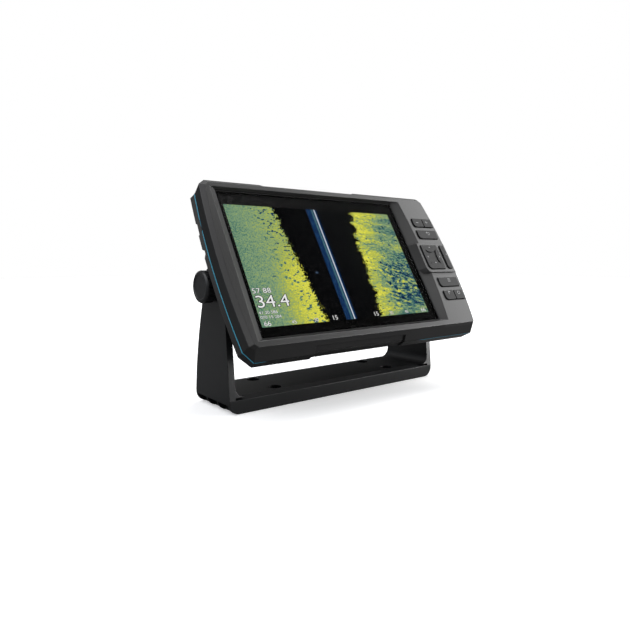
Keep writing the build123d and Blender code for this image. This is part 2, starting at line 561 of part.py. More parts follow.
# ---------------------------------------------------------------- rear case
with BuildPart() as case:
    loft(
        [outline(HEAD.offset(FLANGE_REAR_Z), FLANGE), outline(HEAD.offset(BAND_REAR_Z), PARTING)],
        ruled=True
    )
    # bucket behind the flange, with a sloping back
    bucket = box_face(
        HEAD.offset(BUCKET_SLOPE_Z), -BUCKET_HALF_WIDTH, BUCKET_HALF_WIDTH,
        -BUCKET_HALF_HEIGHT, BUCKET_HALF_HEIGHT, CASE_CORNER
    )
    back = box_face(
        HEAD.offset(BACK_WALL_Z), -BACK_HALF_WIDTH, BACK_HALF_WIDTH, -BACK_HALF_HEIGHT,
        BACK_HALF_HEIGHT, CASE_CORNER
    )
    extrude(bucket, amount=FLANGE_REAR_Z - BUCKET_SLOPE_Z)
    loft([back, bucket], ruled=True)
    # round pads that the bracket's arms clamp against
    for side in (-1, 1):
        with BuildSketch(PIVOT_SIDE.offset(side * BUCKET_HALF_WIDTH)) as clamp_pad:
            Circle(CLAMP_PAD_RADIUS)
        extrude(clamp_pad.sketch, amount=-side * CLAMP_PAD_DEPTH)
    # hollow inside
    bucket_inside = box_face(
        HEAD.offset(BUCKET_SLOPE_Z), WALL - BUCKET_HALF_WIDTH, BUCKET_HALF_WIDTH - WALL,
        WALL - BUCKET_HALF_HEIGHT, BUCKET_HALF_HEIGHT - WALL, CASE_INNER_CORNER
    )
    back_inside = box_face(
        HEAD.offset(BACK_WALL_Z + WALL), BACK_SLOPE_WALL - BACK_HALF_WIDTH,
        BACK_HALF_WIDTH - BACK_SLOPE_WALL, BACK_SLOPE_WALL - BACK_HALF_HEIGHT,
        BACK_HALF_HEIGHT - BACK_SLOPE_WALL, CASE_INNER_CORNER
    )
    extrude(bucket_inside, amount=BAND_REAR_Z - BUCKET_SLOPE_Z, mode=Mode.SUBTRACT)
    loft([back_inside, bucket_inside], ruled=True, mode=Mode.SUBTRACT)
    flange_inside = outline(HEAD.offset(FLANGE_PLATE_Z), PARTING, SEAT_WIDTH)
    extrude(flange_inside, amount=BAND_REAR_Z - FLANGE_PLATE_Z, mode=Mode.SUBTRACT)
    # bosses for the pivot inserts
    for side in (-1, 1):
        with BuildSketch(PIVOT_SIDE.offset(side * (BUCKET_HALF_WIDTH - 1))) as boss:
            Circle(INSERT_BOSS_RADIUS)
        extrude(boss.sketch, amount=-side * INSERT_BOSS_LENGTH)
        with BuildSketch(PIVOT_SIDE.offset(side * BUCKET_HALF_WIDTH)) as boss_hole:
            Circle(INSERT_RADIUS)
        extrude(boss_hole.sketch, amount=-side * INSERT_LENGTH, mode=Mode.SUBTRACT)
    # posts for the main board
    with BuildSketch(HEAD.offset(BACK_WALL_Z + 1)) as posts:
        with Locations(MAIN_BOARD_MIDDLE):
            with GridLocations(*POST_SPACING, 2, 2):
                Circle(POST_RADIUS)
    extrude(posts.sketch, amount=MAIN_BOARD_Z - BACK_WALL_Z - 1)
    with BuildSketch(HEAD.offset(MAIN_BOARD_Z)) as post_holes:
        with Locations(MAIN_BOARD_MIDDLE):
            with GridLocations(*POST_SPACING, 2, 2):
                Circle(POST_BORE)
    extrude(post_holes.sketch, amount=-POST_BORE_DEPTH, mode=Mode.SUBTRACT)
    # screw holes in the flange, with head recesses behind
    for screw_x, screw_y in CASE_SCREWS:
        holes(HEAD.offset(BAND_REAR_Z), [(screw_x, screw_y)], CASE_SCREW_CLEARANCE, 9.0)
    # notches in the rear edge of both flanks
    for side in (-1, 1):
        shallow = box_face(
            HEAD.offset(FLANGE_REAR_Z), *sorted((side * NOTCH_FLOOR_X, side * 147)), 35.0, 46.5
        )
        extrude(shallow, amount=2.0, mode=Mode.SUBTRACT)
        with BuildSketch(HEAD_SIDE.offset(side * NOTCH_FLOOR_X)) as notch:
            with BuildLine():
                Polyline((13.0, 24.0), (15.4, 28.4), (18.4, 28.4), (22.0, 24.0), close=True)
            make_face()
        extrude(notch.sketch, amount=side * 14.0, mode=Mode.SUBTRACT)
    # cooling fins and the blank label panel on the back wall
    with BuildSketch(HEAD.offset(BACK_WALL_Z + 1)) as fins:
        with Locations((0, FIN_MIDDLE_Y)):
            with GridLocations(FIN_PITCH, 1, FIN_COUNT, 1):
                Rectangle(FIN_WIDTH, FIN_HEIGHT)
    extrude(fins.sketch, amount=HEAD_REAR_Z - BACK_WALL_Z - 1)
    label_panel = box_face(HEAD.offset(BACK_WALL_Z), *LABEL_PANEL, 2.0)
    extrude(label_panel, amount=LABEL_PANEL_DEPTH, mode=Mode.SUBTRACT)
    # socket holes and the vent
    for socket_x, barrel, bore, pins in SOCKETS.values():
        holes(HEAD.offset(BACK_WALL_Z + WALL), [(socket_x, SOCKET_Y)], barrel, WALL + 1)
    holes(HEAD.offset(BACK_WALL_Z + WALL), [VENT_PLACE], VENT_RADIUS, WALL + 1)
    cut_recesses()
save(case, "rear_case")

with BuildPart() as screws:
    head_radius, head_height = CASE_SCREW_HEAD
    drive_radius, drive_depth = CASE_SCREW_DRIVE
    pillars(HEAD.offset(FLANGE_REAR_Z - head_height), CASE_SCREWS, head_radius, head_height)
    pillars(HEAD.offset(FLANGE_REAR_Z), CASE_SCREWS, CASE_SCREW_RADIUS, CASE_SCREW_LENGTH)
    with BuildSketch(HEAD.offset(FLANGE_REAR_Z - head_height)) as drives:
        with Locations(*CASE_SCREWS):
            RegularPolygon(drive_radius, 6)
    extrude(drives.sketch, amount=drive_depth, mode=Mode.SUBTRACT)
save(screws, "case_screws")

with BuildPart() as vent:
    pillars(HEAD.offset(BACK_WALL_Z + WALL), [VENT_PLACE], VENT_MEMBRANE_RADIUS, VENT_MEMBRANE_THICKNESS)
save(vent, "vent_membrane")

# ---------------------------------------------------------------- screen stack
with BuildPart() as glass:
    pane = box_face(
        HEAD.offset(GLASS_Z - GLASS_THICKNESS), GLASS_LEFT, GLASS_RIGHT, GLASS_BOTTOM, GLASS_TOP, 1.2
    )
    extrude(pane, amount=GLASS_THICKNESS)
save(glass, "cover_glass")

with BuildPart() as glass_seal:
    seal_seat = box_face(
        HEAD.offset(GLASS_Z - GLASS_THICKNESS - GASKET_SEAT), GLASS_LEFT - GLASS_GAP,
        GLASS_RIGHT + GLASS_GAP, GLASS_BOTTOM - GLASS_GAP, GLASS_TOP + GLASS_GAP
    )
    extrude(seal_seat, amount=1.7)
    extrude(pane, amount=GLASS_THICKNESS, mode=Mode.SUBTRACT)
    seal_window = box_face(
        HEAD.offset(GLASS_Z - GLASS_THICKNESS - GASKET_SEAT), SCREEN_MIDDLE - WINDOW_HALF_WIDTH,
        SCREEN_MIDDLE + WINDOW_HALF_WIDTH, -WINDOW_HALF_HEIGHT, WINDOW_HALF_HEIGHT
    )
    extrude(seal_window, amount=GASKET_SEAT, mode=Mode.SUBTRACT)
save(glass_seal, "glass_seal")

with BuildPart() as lcd:
    cell = box_face(
        HEAD.offset(LCD_FRAME_FRONT_Z), SCREEN_MIDDLE - SCREEN_WIDTH / 2 - CELL_BORDER,
        SCREEN_MIDDLE + SCREEN_WIDTH / 2 + CELL_BORDER, -SCREEN_HEIGHT / 2 - CELL_BORDER,
        SCREEN_HEIGHT / 2 + CELL_BORDER
    )
    extrude(cell, amount=GLASS_Z - GLASS_THICKNESS - LCD_FRAME_FRONT_Z)
save(lcd, "lcd_panel")

with BuildPart() as lcd_tray:
    tray = box_face(
        HEAD.offset(LCD_FRAME_REAR_Z), SCREEN_MIDDLE - TRAY_HALF_WIDTH,
        SCREEN_MIDDLE + TRAY_HALF_WIDTH, -TRAY_HALF_HEIGHT, TRAY_HALF_HEIGHT
    )
    extrude(tray, amount=LCD_FRAME_FRONT_Z - LCD_FRAME_REAR_Z)
    holes(HEAD.offset(LCD_FRAME_FRONT_Z), LCD_SCREWS, SMALL_SCREW_CLEARANCE, 5.0)
save(lcd_tray, "lcd_frame")

with BuildPart() as tray_screws:
    pillars(HEAD.offset(LCD_FRAME_REAR_Z - 1.2), LCD_SCREWS, 1.9, 1.2)
    pillars(HEAD.offset(LCD_FRAME_REAR_Z), LCD_SCREWS, SMALL_SCREW_RADIUS, 6.6)
save(tray_screws, "lcd_screws")

with BuildPart() as spreader:
    sheet = box_face(
        HEAD.offset(SPREADER_REAR_Z), SCREEN_MIDDLE - SPREADER_HALF_WIDTH,
        SCREEN_MIDDLE + SPREADER_HALF_WIDTH, -SPREADER_HALF_HEIGHT, SPREADER_HALF_HEIGHT, 3.0
    )
    extrude(sheet, amount=LCD_FRAME_REAR_Z - SPREADER_REAR_Z)
save(spreader, "heat_spreader")

# ---------------------------------------------------------------- main board
board_front_z = MAIN_BOARD_Z + BOARD_THICKNESS
with BuildPart() as board:
    with BuildSketch(HEAD.offset(MAIN_BOARD_Z)):
        with Locations(MAIN_BOARD_MIDDLE):
            Rectangle(*MAIN_BOARD_SIZE)
            with GridLocations(*POST_SPACING, 2, 2):
                Circle(1.7, mode=Mode.SUBTRACT)
    extrude(amount=BOARD_THICKNESS)
save(board, "main_board")

with BuildPart() as board_fixings:
    for radius, start, height in ((2.8, board_front_z, 1.8), (1.2, MAIN_BOARD_Z - 10, 11.6)):
        with BuildSketch(HEAD.offset(start)) as screw_face:
            with Locations(MAIN_BOARD_MIDDLE):
                with GridLocations(*POST_SPACING, 2, 2):
                    Circle(radius)
        extrude(screw_face.sketch, amount=height)
save(board_fixings, "board_screws")

with BuildPart() as chips:
    for chip_x, chip_y, chip_size, chip_height in (
        (-34, 12, 21, 1.6), (-4, 18, 14, 1.2), (-4, -2, 14, 1.2), (22, 8, 11, 1.4), (-62, 8, 17, 2.2)
    ):
        with BuildSketch(HEAD.offset(board_front_z)) as chip_face:
            with Locations((chip_x, chip_y)):
                Rectangle(chip_size, chip_size)
        extrude(chip_face.sketch, amount=chip_height)
save(chips, "board_chips")

with BuildPart() as cans:
    for can_x, can_y, can_width, can_height in ((-52, 14, 46, 36), (6, 16, 36, 30)):
        can = box_face(
            HEAD.offset(MAIN_BOARD_Z), can_x - can_width / 2, can_x + can_width / 2,
            can_y - can_height / 2, can_y + can_height / 2, 1.5
        )
        extrude(can, amount=-SHIELD_CAN_HEIGHT)
save(cans, "shield_cans")

with BuildPart() as antenna:
    base = box_face(HEAD.offset(board_front_z), *ANTENNA_BODY, 1.0)
    extrude(base, amount=ANTENNA_THICKNESS)
    patch = box_face(HEAD.offset(board_front_z + ANTENNA_THICKNESS), *ANTENNA_PATCH, 0.5)
    extrude(patch, amount=0.2)
save(antenna, "gps_antenna")

with BuildPart() as beeper:
    pillars(
        HEAD.offset(MAIN_BOARD_Z - BEEPER_HEIGHT), [BEEPER_PLACE], BEEPER_RADIUS, BEEPER_HEIGHT
    )
    holes(HEAD.offset(MAIN_BOARD_Z - 4.0), [BEEPER_PLACE], 1.2, 3.0)
save(beeper, "beeper")

with BuildPart() as screen_cable:
    with BuildSketch(HEAD_SIDE.offset(-50.0)):
        with BuildLine():
            Polyline(
                (-61.4, LCD_FRAME_REAR_Z), (-61.0, LCD_FRAME_REAR_Z),
                (-61.0, board_front_z + RIBBON_THICKNESS),
                (-42.0, board_front_z + RIBBON_THICKNESS), (-42.0, board_front_z),
                (-61.4, board_front_z), close=True
            )
        make_face()
    extrude(amount=42.0)
save(screen_cable, "lcd_ribbon")

with BuildPart() as key_cable:
    upright = box_face(
        HEAD.offset(board_front_z), KEY_RIBBON_X, KEY_RIBBON_X + RIBBON_THICKNESS,
        -KEY_RIBBON_HALF_WIDTH, KEY_RIBBON_HALF_WIDTH
    )
    extrude(upright, amount=KEY_BOARD_Z - board_front_z)
    flat = box_face(
        HEAD.offset(board_front_z), 62.0, KEY_RIBBON_X + RIBBON_THICKNESS,
        -KEY_RIBBON_HALF_WIDTH, KEY_RIBBON_HALF_WIDTH
    )
    extrude(flat, amount=RIBBON_THICKNESS)
save(key_cable, "keypad_ribbon")

# ---------------------------------------------------------------- keypad
key_board_front_z = KEY_BOARD_Z + BOARD_THICKNESS
with BuildPart() as key_board:
    extrude(box_face(HEAD.offset(KEY_BOARD_Z), 92.5, 131.2, -54.5, 56.5), amount=BOARD_THICKNESS)
    extrude(box_face(HEAD.offset(KEY_BOARD_Z), 120.0, 136.0, -16.5, 19.0), amount=BOARD_THICKNESS)
    holes(HEAD.offset(key_board_front_z), KEY_BOARD_SCREWS, SMALL_SCREW_CLEARANCE, BOARD_THICKNESS)
save(key_board, "keypad_board")

with BuildPart() as key_board_fixings:
    pillars(HEAD.offset(KEY_BOARD_Z - 1.4), KEY_BOARD_SCREWS, 2.1, 1.4)
    pillars(HEAD.offset(KEY_BOARD_Z), KEY_BOARD_SCREWS, SMALL_SCREW_RADIUS, 6.0)
save(key_board_fixings, "keypad_screws")

with BuildPart() as domes:
    pillars(HEAD.offset(key_board_front_z), SWITCH_PLACES, 2.5, 0.35)
save(domes, "dome_switches")

with BuildPart() as membrane:
    skin = box_face(HEAD.offset(MEMBRANE_Z), 100.0, 138.2, -54.5, 56.5, 1.0)
    extrude(skin, amount=MEMBRANE_THICKNESS)
    pillars(HEAD.offset(MEMBRANE_Z + MEMBRANE_THICKNESS), SWITCH_PLACES, 2.2,
            PAD_TOP_Z - MEMBRANE_Z - MEMBRANE_THICKNESS)
save(membrane, "keypad_membrane")

# single keys fill a row, paired keys share one
for key_name, row, left, right, soft, lip in (
    ("key_zoom_out", KEY_ROWS[0], KEY_LEFT, KEY_SPLIT, KEY_SOFT_CORNER, LIP_WIDTH),
    ("key_zoom_in", KEY_ROWS[0], KEY_SPLIT, KEY_RIGHT, KEY_TIGHT_CORNER, 0.0),
    ("key_back", KEY_ROWS[1], KEY_LEFT, KEY_RIGHT, KEY_SOFT_CORNER, LIP_WIDTH),
    ("key_menu", KEY_ROWS[2], KEY_LEFT, KEY_RIGHT, KEY_SOFT_CORNER, LIP_WIDTH),
    ("key_mark", KEY_ROWS[3], KEY_LEFT, KEY_SPLIT, KEY_SOFT_CORNER, LIP_WIDTH),
    ("key_power", KEY_ROWS[3], KEY_SPLIT, KEY_RIGHT, KEY_TIGHT_CORNER, 0.0),
):
    middle = KEYPAD_MIDDLE_Y + row
    key_cap(
        key_name, left + KEY_GAP, right - KEY_GAP, middle - KEY_HEIGHT / 2 + KEY_GAP,
        middle + KEY_HEIGHT / 2 - KEY_GAP, soft, KEY_TIGHT_CORNER, RIM_Z + KEY_PROUD, lip
    )
key_cap(
    "key_select", SELECT_MIDDLE_X - SELECT_WIDTH / 2 + KEY_GAP,
    SELECT_MIDDLE_X + SELECT_WIDTH / 2 - KEY_GAP, KEYPAD_MIDDLE_Y - SELECT_HEIGHT / 2 + KEY_GAP,
    KEYPAD_MIDDLE_Y + SELECT_HEIGHT / 2 - KEY_GAP, 3.0, 1.4, PLATFORM_Z + KEY_PROUD, LIP_WIDTH
)

dpad_place = (DPAD_MIDDLE_X, KEYPAD_MIDDLE_Y)
with BuildPart() as dpad:
    dpad_face = key_face(
        HEAD.offset(DPAD_LIP_Z), DPAD_MIDDLE_X - DPAD_WIDTH / 2 + KEY_GAP,
        DPAD_MIDDLE_X + DPAD_WIDTH / 2 - KEY_GAP, KEYPAD_MIDDLE_Y - DPAD_HEIGHT / 2 + KEY_GAP,
        KEYPAD_MIDDLE_Y + DPAD_HEIGHT / 2 - KEY_GAP, 5.0, 1.4
    )
    extrude(dpad_face, amount=DPAD_TOP_Z - DPAD_LIP_Z)
    dpad_front = dpad.faces().sort_by(Axis(HEAD.origin, HEAD.z_dir))[-1]
    fillet(dpad_front.edges(), radius=0.5)
    # star-shaped dish with four hollow sides, whose points part the four arrow lobes
    with BuildSketch(HEAD.offset(DPAD_TOP_Z)) as dish:
        with BuildLine():
            for quarter in range(4):
                ThreePointArc(dish_place(2 * quarter), dish_place(2 * quarter + 1),
                              dish_place(2 * quarter + 2))
        make_face()
    extrude(dish.sketch, amount=-DISH_DEPTH, mode=Mode.SUBTRACT)
    dpad_lip = box_face(
        HEAD.offset(DPAD_LIP_Z), DPAD_MIDDLE_X - DPAD_WIDTH / 2 - DPAD_LIP_WIDTH,
        DPAD_MIDDLE_X + DPAD_WIDTH / 2 + DPAD_LIP_WIDTH,
        KEYPAD_MIDDLE_Y - DPAD_HEIGHT / 2 - DPAD_LIP_WIDTH,
        KEYPAD_MIDDLE_Y + DPAD_HEIGHT / 2 + DPAD_LIP_WIDTH
    )
    extrude(dpad_lip, amount=DPAD_LIP_THICKNESS)
    holes(
        HEAD.offset(DPAD_POCKET_Z), [dpad_place], DPAD_POCKET_RADIUS, DPAD_POCKET_Z - DPAD_LIP_Z
    )
save(dpad, "key_dpad")

with BuildPart() as rocker_post:
    pillars(
        HEAD.offset(MEMBRANE_Z + MEMBRANE_THICKNESS + RUB_CLEARANCE), [dpad_place],
        DPAD_POST_RADIUS, DPAD_POST_HEIGHT
    )
save(rocker_post, "dpad_pivot")

# ---------------------------------------------------------------- sockets
with BuildPart() as seals:
    for socket_x, barrel, bore, pins in SOCKETS.values():
        with BuildSketch(HEAD.offset(BACK_WALL_Z)) as seal_ring:
            with Locations((socket_x, SOCKET_Y)):
                Circle(barrel + SOCKET_FLANGE)
                Circle(barrel, mode=Mode.SUBTRACT)
        extrude(seal_ring.sketch, amount=-SOCKET_SEAL_THICKNESS)
save(seals, "socket_seals")

with BuildPart() as nuts:
    for socket_x, barrel, bore, pins in SOCKETS.values():
        with BuildSketch(HEAD.offset(BACK_WALL_Z + WALL)) as nut_face:
            with Locations((socket_x, SOCKET_Y)):
                RegularPolygon(barrel + SOCKET_NUT_MARGIN, 6)
                Circle(barrel, mode=Mode.SUBTRACT)
        extrude(nut_face.sketch, amount=SOCKET_NUT_HEIGHT)
save(nuts, "socket_nuts")

with BuildPart() as contacts:
    for socket_x, barrel, bore, pins in SOCKETS.values():
        with BuildSketch(HEAD.offset(HEAD_REAR_Z + SOCKET_DEPTH)) as pin_face:
            with Locations((socket_x, SOCKET_Y)):
                with PolarLocations(bore * PIN_CIRCLE_SHARE, pins):
                    Circle(PIN_RADIUS)
        extrude(pin_face.sketch, amount=SOCKET_DEPTH - SOCKET_MOUTH_DEPTH, dir=-HEAD.z_dir)
save(contacts, "socket_pins")

for socket_name, (socket_x, barrel, bore, pins) in SOCKETS.items():
    with BuildPart() as socket:
        pillars(HEAD.offset(HEAD_REAR_Z), [(socket_x, SOCKET_Y)], barrel, 14.0)
        pillars(HEAD.offset(BACK_WALL_Z - 1.6), [(socket_x, SOCKET_Y)], barrel + SOCKET_FLANGE, 1.0)
        holes(
            HEAD.offset(HEAD_REAR_Z + SOCKET_MOUTH_DEPTH), [(socket_x, SOCKET_Y)], bore,
            SOCKET_MOUTH_DEPTH
        )
        holes(
            HEAD.offset(HEAD_REAR_Z + SOCKET_DEPTH), [(socket_x, SOCKET_Y)], bore - 0.5, SOCKET_DEPTH
        )
    save(socket, socket_name)

# ---------------------------------------------------------------- pivots and knobs
for side, side_name in ((-1, "left"), (1, "right")):
    with BuildPart() as insert:
        with BuildSketch(PIVOT_SIDE.offset(side * BUCKET_HALF_WIDTH)) as insert_face:
            Circle(INSERT_RADIUS)
        extrude(insert_face.sketch, amount=-side * INSERT_LENGTH)
        with BuildSketch(PIVOT_SIDE.offset(side * BUCKET_HALF_WIDTH)) as insert_bore:
            Circle(INSERT_BORE_RADIUS)
        extrude(insert_bore.sketch, amount=-side * (INSERT_LENGTH - 2), mode=Mode.SUBTRACT)
    save(insert, f"{side_name}_pivot_insert")

    with BuildPart() as friction_washer:
        with BuildSketch(PIVOT_SIDE.offset(side * BUCKET_HALF_WIDTH)) as washer_face:
            Circle(FRICTION_WASHER_RADIUS)
            Circle(ARM_HOLE_RADIUS, mode=Mode.SUBTRACT)
        extrude(
            washer_face.sketch,
            amount=side * (ARM_INNER - BUCKET_HALF_WIDTH - RUB_CLEARANCE)
        )
    save(friction_washer, f"{side_name}_friction_washer")

    with BuildPart() as knob_washer:
        with BuildSketch(PIVOT_SIDE.offset(side * (ARM_OUTER + RUB_CLEARANCE))) as ring_face:
            Circle(KNOB_WASHER_RADIUS)
            Circle(STUD_RADIUS + 0.4, mode=Mode.SUBTRACT)
        extrude(ring_face.sketch, amount=side * KNOB_WASHER_THICKNESS)
    save(knob_washer, f"{side_name}_knob_washer")

    with BuildPart() as stud:
        with BuildSketch(PIVOT_SIDE.offset(side * STUD_TIP_X)) as stud_face:
            Circle(STUD_RADIUS)
        extrude(stud_face.sketch, amount=side * (STUD_HEAD_X - STUD_TIP_X))
    save(stud, f"{side_name}_knob_stud")

    # half-section of the knob: along the axis and out from it
    with BuildPart() as knob:
        knob_start = ARM_OUTER + KNOB_WASHER_THICKNESS + 2 * RUB_CLEARANCE
        with BuildSketch(Plane(origin=HEAD.origin, x_dir=(side, 0, 0), z_dir=(0, -side, 0))):
            with BuildLine():
                Polyline(
                    (KNOB_FACE_X, KNOB_FACE_RADIUS), (KNOB_FACE_X, KNOB_FACE_RADIUS - 1.6),
                    (KNOB_FACE_X - 0.7, KNOB_FACE_RADIUS - 2.4), (KNOB_FACE_X - 0.7, 0),
                    (knob_start, 0), (knob_start, KNOB_RADIUS - 1.0),
                    (knob_start + 1.2, KNOB_RADIUS), (KNOB_FACE_X - 3.4, KNOB_RADIUS)
                )
                ThreePointArc(
                    (KNOB_FACE_X - 3.4, KNOB_RADIUS), (KNOB_FACE_X - 0.9, KNOB_RADIUS - 0.5),
                    (KNOB_FACE_X, KNOB_FACE_RADIUS)
                )
            make_face()
        revolve(axis=Axis(HEAD.origin, (1, 0, 0)))
        with BuildSketch(PIVOT_SIDE.offset(side * knob_start)) as grip:
            with PolarLocations(KNOB_RADIUS + FLUTE_INSET, KNOB_FLUTES):
                Circle(FLUTE_RADIUS)
        extrude(grip.sketch, amount=side * FLUTE_LENGTH, mode=Mode.SUBTRACT)
        with BuildSketch(PIVOT_SIDE.offset(side * knob_start)) as stud_hole:
            Circle(STUD_RADIUS)
        extrude(stud_hole.sketch, amount=side * (STUD_HEAD_X - knob_start), mode=Mode.SUBTRACT)
    save(knob, f"{side_name}_knob")
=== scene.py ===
"""Looks of the marine chartplotter display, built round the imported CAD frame."""
import json
import math

import bmesh
import bpy
from mathutils import Matrix, Vector


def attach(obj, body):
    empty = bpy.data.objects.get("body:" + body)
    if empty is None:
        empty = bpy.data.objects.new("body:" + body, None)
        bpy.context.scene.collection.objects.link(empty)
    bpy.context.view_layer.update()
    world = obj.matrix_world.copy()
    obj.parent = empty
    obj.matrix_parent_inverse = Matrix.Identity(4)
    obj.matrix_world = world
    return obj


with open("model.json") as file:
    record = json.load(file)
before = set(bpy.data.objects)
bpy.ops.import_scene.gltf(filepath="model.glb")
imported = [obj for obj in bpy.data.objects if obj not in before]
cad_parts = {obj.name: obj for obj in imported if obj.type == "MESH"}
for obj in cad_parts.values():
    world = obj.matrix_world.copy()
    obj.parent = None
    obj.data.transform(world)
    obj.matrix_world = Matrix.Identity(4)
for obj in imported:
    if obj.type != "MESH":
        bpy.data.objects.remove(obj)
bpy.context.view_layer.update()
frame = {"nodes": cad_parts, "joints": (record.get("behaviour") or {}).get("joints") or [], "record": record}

MM = 0.001
JOINTS = {joint["name"]: joint for joint in frame["joints"]}

# ---------------------------------------------------------------- the display's own axes
PIVOT = Vector(JOINTS["head_tilt"]["pos_m"])
RIGHT = Vector((1, 0, 0))
OUT = -Vector(JOINTS["press_back"]["axis"])
UP = OUT.cross(RIGHT)
HEAD = Matrix.Translation(PIVOT) @ Matrix((RIGHT, UP, OUT)).transposed().to_4x4()


def on_head(x, y, z):
    """Placing matrix of a point given in millimetres along the display's own axes."""
    return HEAD @ Matrix.Translation(Vector((x, y, z)) * MM)


def front_of(node):
    """How far out of the pivot a node reaches along the display's outward axis, in millimetres."""
    corners = (vertex.co for vertex in frame["nodes"][node].data.vertices)
    return max((corner - PIVOT).dot(OUT) for corner in corners) / MM


# ---------------------------------------------------------------- sizes, in millimetres
# places are along the display's own axes, from the pivot
SCREEN_MIDDLE = -20.4
SCREEN_WIDTH = 198.0
SCREEN_HEIGHT = 116.9
GLASS_LEFT, GLASS_RIGHT = -122.6, 86.5
GLASS_BOTTOM, GLASS_TOP = -67.4, 70.3
PRINT_CORNER = 2.0
PICTURE_CORNER = 0.1
EDGE_REACH = 0.2
EDGE_CORNER = 1.1
PRINT_THICKNESS = 0.03
LAYER_GAP = 0.02
ICON_HEIGHT = 0.05
ICON_SINK = 0.01
ICON_LINE = 0.55
ZOOM_ARM = 2.0
ARROW_LENGTH = 1.3
ARROW_HALF = 1.2
DPAD_ACROSS, DPAD_UP = 113.0, 1.3
# direction of each of the pad's arrowheads in degrees, and how far from the pad's middle it starts
ARROW_REACHES = {0: 9.9, 90: 11.3, 180: 7.9, 270: 6.7}

# where each edge of a mask starts and where it is full
STRIP_LEFT = (87, 92)
STRIP_FRONT = (40.9, 41.4)
# the slope beside the D-pad's platform, kept darker than the key face as painted shade
SLOPE_BOTTOM = (-20, -17)
SLOPE_TOP = (22, 19)
SLOPE_RIGHT = (102, 98)
RECESS_LEFT = (-126, -120)
RECESS_RIGHT = (60, 54)
RECESS_TOP = (-70, -76)
SHEEN_ACROSS = (60, -150)
SHEEN_UP = (-130, 80)


# ---------------------------------------------------------------- material helpers
def add(tree, kind, inputs=None, **settings):
    """New shader node with its settings and its fixed input values."""
    made = tree.nodes.new("ShaderNode" + kind)
    for name, value in settings.items():
        setattr(made, name, value)
    for name, value in (inputs or {}).items():
        made.inputs[name].default_value = value
    return made


def link(tree, source, target):
    tree.links.new(source, target)
    return target.node


def blank_material(name):
    """Material with only a Principled shader, and its tree and shader."""
    material = bpy.data.materials.new(name)
    material.use_nodes = True
    tree = material.node_tree
    tree.nodes.clear()
    output = add(tree, "OutputMaterial")
    shader = add(tree, "BsdfPrincipled")
    link(tree, shader.outputs["BSDF"], output.inputs["Surface"])
    return material, tree, shader


def grey(value, tint=(1, 1, 1)):
    return tuple(value * share for share in tint) + (1,)


def scaled(colour, factor):
    return tuple(min(1.0, channel * factor) for channel in colour[:3]) + (1,)


def span(tree, value, low, high):
    """Maps a 0 to 1 value onto low to high."""
    made = add(tree, "MapRange", {"To Min": low, "To Max": high})
    link(tree, value, made.inputs["Value"])
    return made.outputs["Result"]


def surface(name, colour, roughness, grain=0.35, depth=0.02, mottle=0.1, spread=0.06, metallic=0.0,
            specular=0.5, edge=0.25, stretch=(1, 1, 1)):
    """Moulded, cast or coated surface: fine grain in relief, uneven colour and gloss, soft edges.

    grain and depth are the size and the height of the surface's texture in millimetres, mottle is how
    far the colour strays from even, and edge is the radius of the worn edges in millimetres."""
    material, tree, shader = blank_material(name)
    shader.inputs["Metallic"].default_value = metallic
    shader.inputs["Specular IOR Level"].default_value = specular
    place = add(tree, "TexCoord")
    shape = add(tree, "Mapping", {"Scale": stretch})
    link(tree, place.outputs["Object"], shape.inputs["Vector"])

    clouds = add(tree, "TexNoise", {"Scale": 45.0, "Detail": 4.0, "Roughness": 0.6})
    link(tree, shape.outputs["Vector"], clouds.inputs["Vector"])
    colours = add(tree, "ValToRGB")
    colours.color_ramp.elements[0].position = 0.3
    colours.color_ramp.elements[1].position = 0.7
    colours.color_ramp.elements[0].color = scaled(colour, 1 - mottle)
    colours.color_ramp.elements[1].color = scaled(colour, 1 + mottle)
    link(tree, clouds.outputs["Fac"], colours.inputs["Fac"])
    link(tree, colours.outputs["Color"], shader.inputs["Base Color"])

    pits = add(tree, "TexNoise", {"Scale": 1.0 / (grain * MM), "Detail": 3.0, "Roughness": 0.55})
    link(tree, shape.outputs["Vector"], pits.inputs["Vector"])
    link(tree, span(tree, pits.outputs["Fac"], roughness - spread, roughness + spread),
         shader.inputs["Roughness"])

    relief = add(tree, "Bump", {"Strength": 1.0, "Distance": depth * MM})
    link(tree, pits.outputs["Fac"], relief.inputs["Height"])
    if edge:
        corners = add(tree, "Bevel", {"Radius": edge * MM}, samples=4)
        link(tree, corners.outputs["Normal"], relief.inputs["Normal"])
    link(tree, relief.outputs["Normal"], shader.inputs["Normal"])
    return material


def head_axes(tree):
    """Sockets of a point's place along the display's own axes, in metres from the pivot."""
    place = add(tree, "TexCoord")
    offset = add(tree, "VectorMath", {1: PIVOT}, operation="SUBTRACT")
    link(tree, place.outputs["Object"], offset.inputs[0])
    sockets = []
    for axis in (RIGHT, UP, OUT):
        along = add(tree, "VectorMath", {1: axis}, operation="DOT_PRODUCT")
        link(tree, offset.outputs["Vector"], along.inputs[0])
        sockets.append(along.outputs["Value"])
    return sockets


def ramp_at(tree, value, start, end):
    """Smooth 0 to 1 as a place passes from start to end, in millimetres, or back where start is more."""
    made = add(tree, "MapRange", {"From Min": start * MM, "From Max": end * MM},
               interpolation_type="SMOOTHSTEP")
    link(tree, value, made.inputs["Value"])
    return made.outputs["Result"]


def both_of(tree, first, second):
    """Product of two masks."""
    made = add(tree, "Math", operation="MULTIPLY")
    link(tree, first, made.inputs[0])
    link(tree, second, made.inputs[1])
    return made.outputs[0]


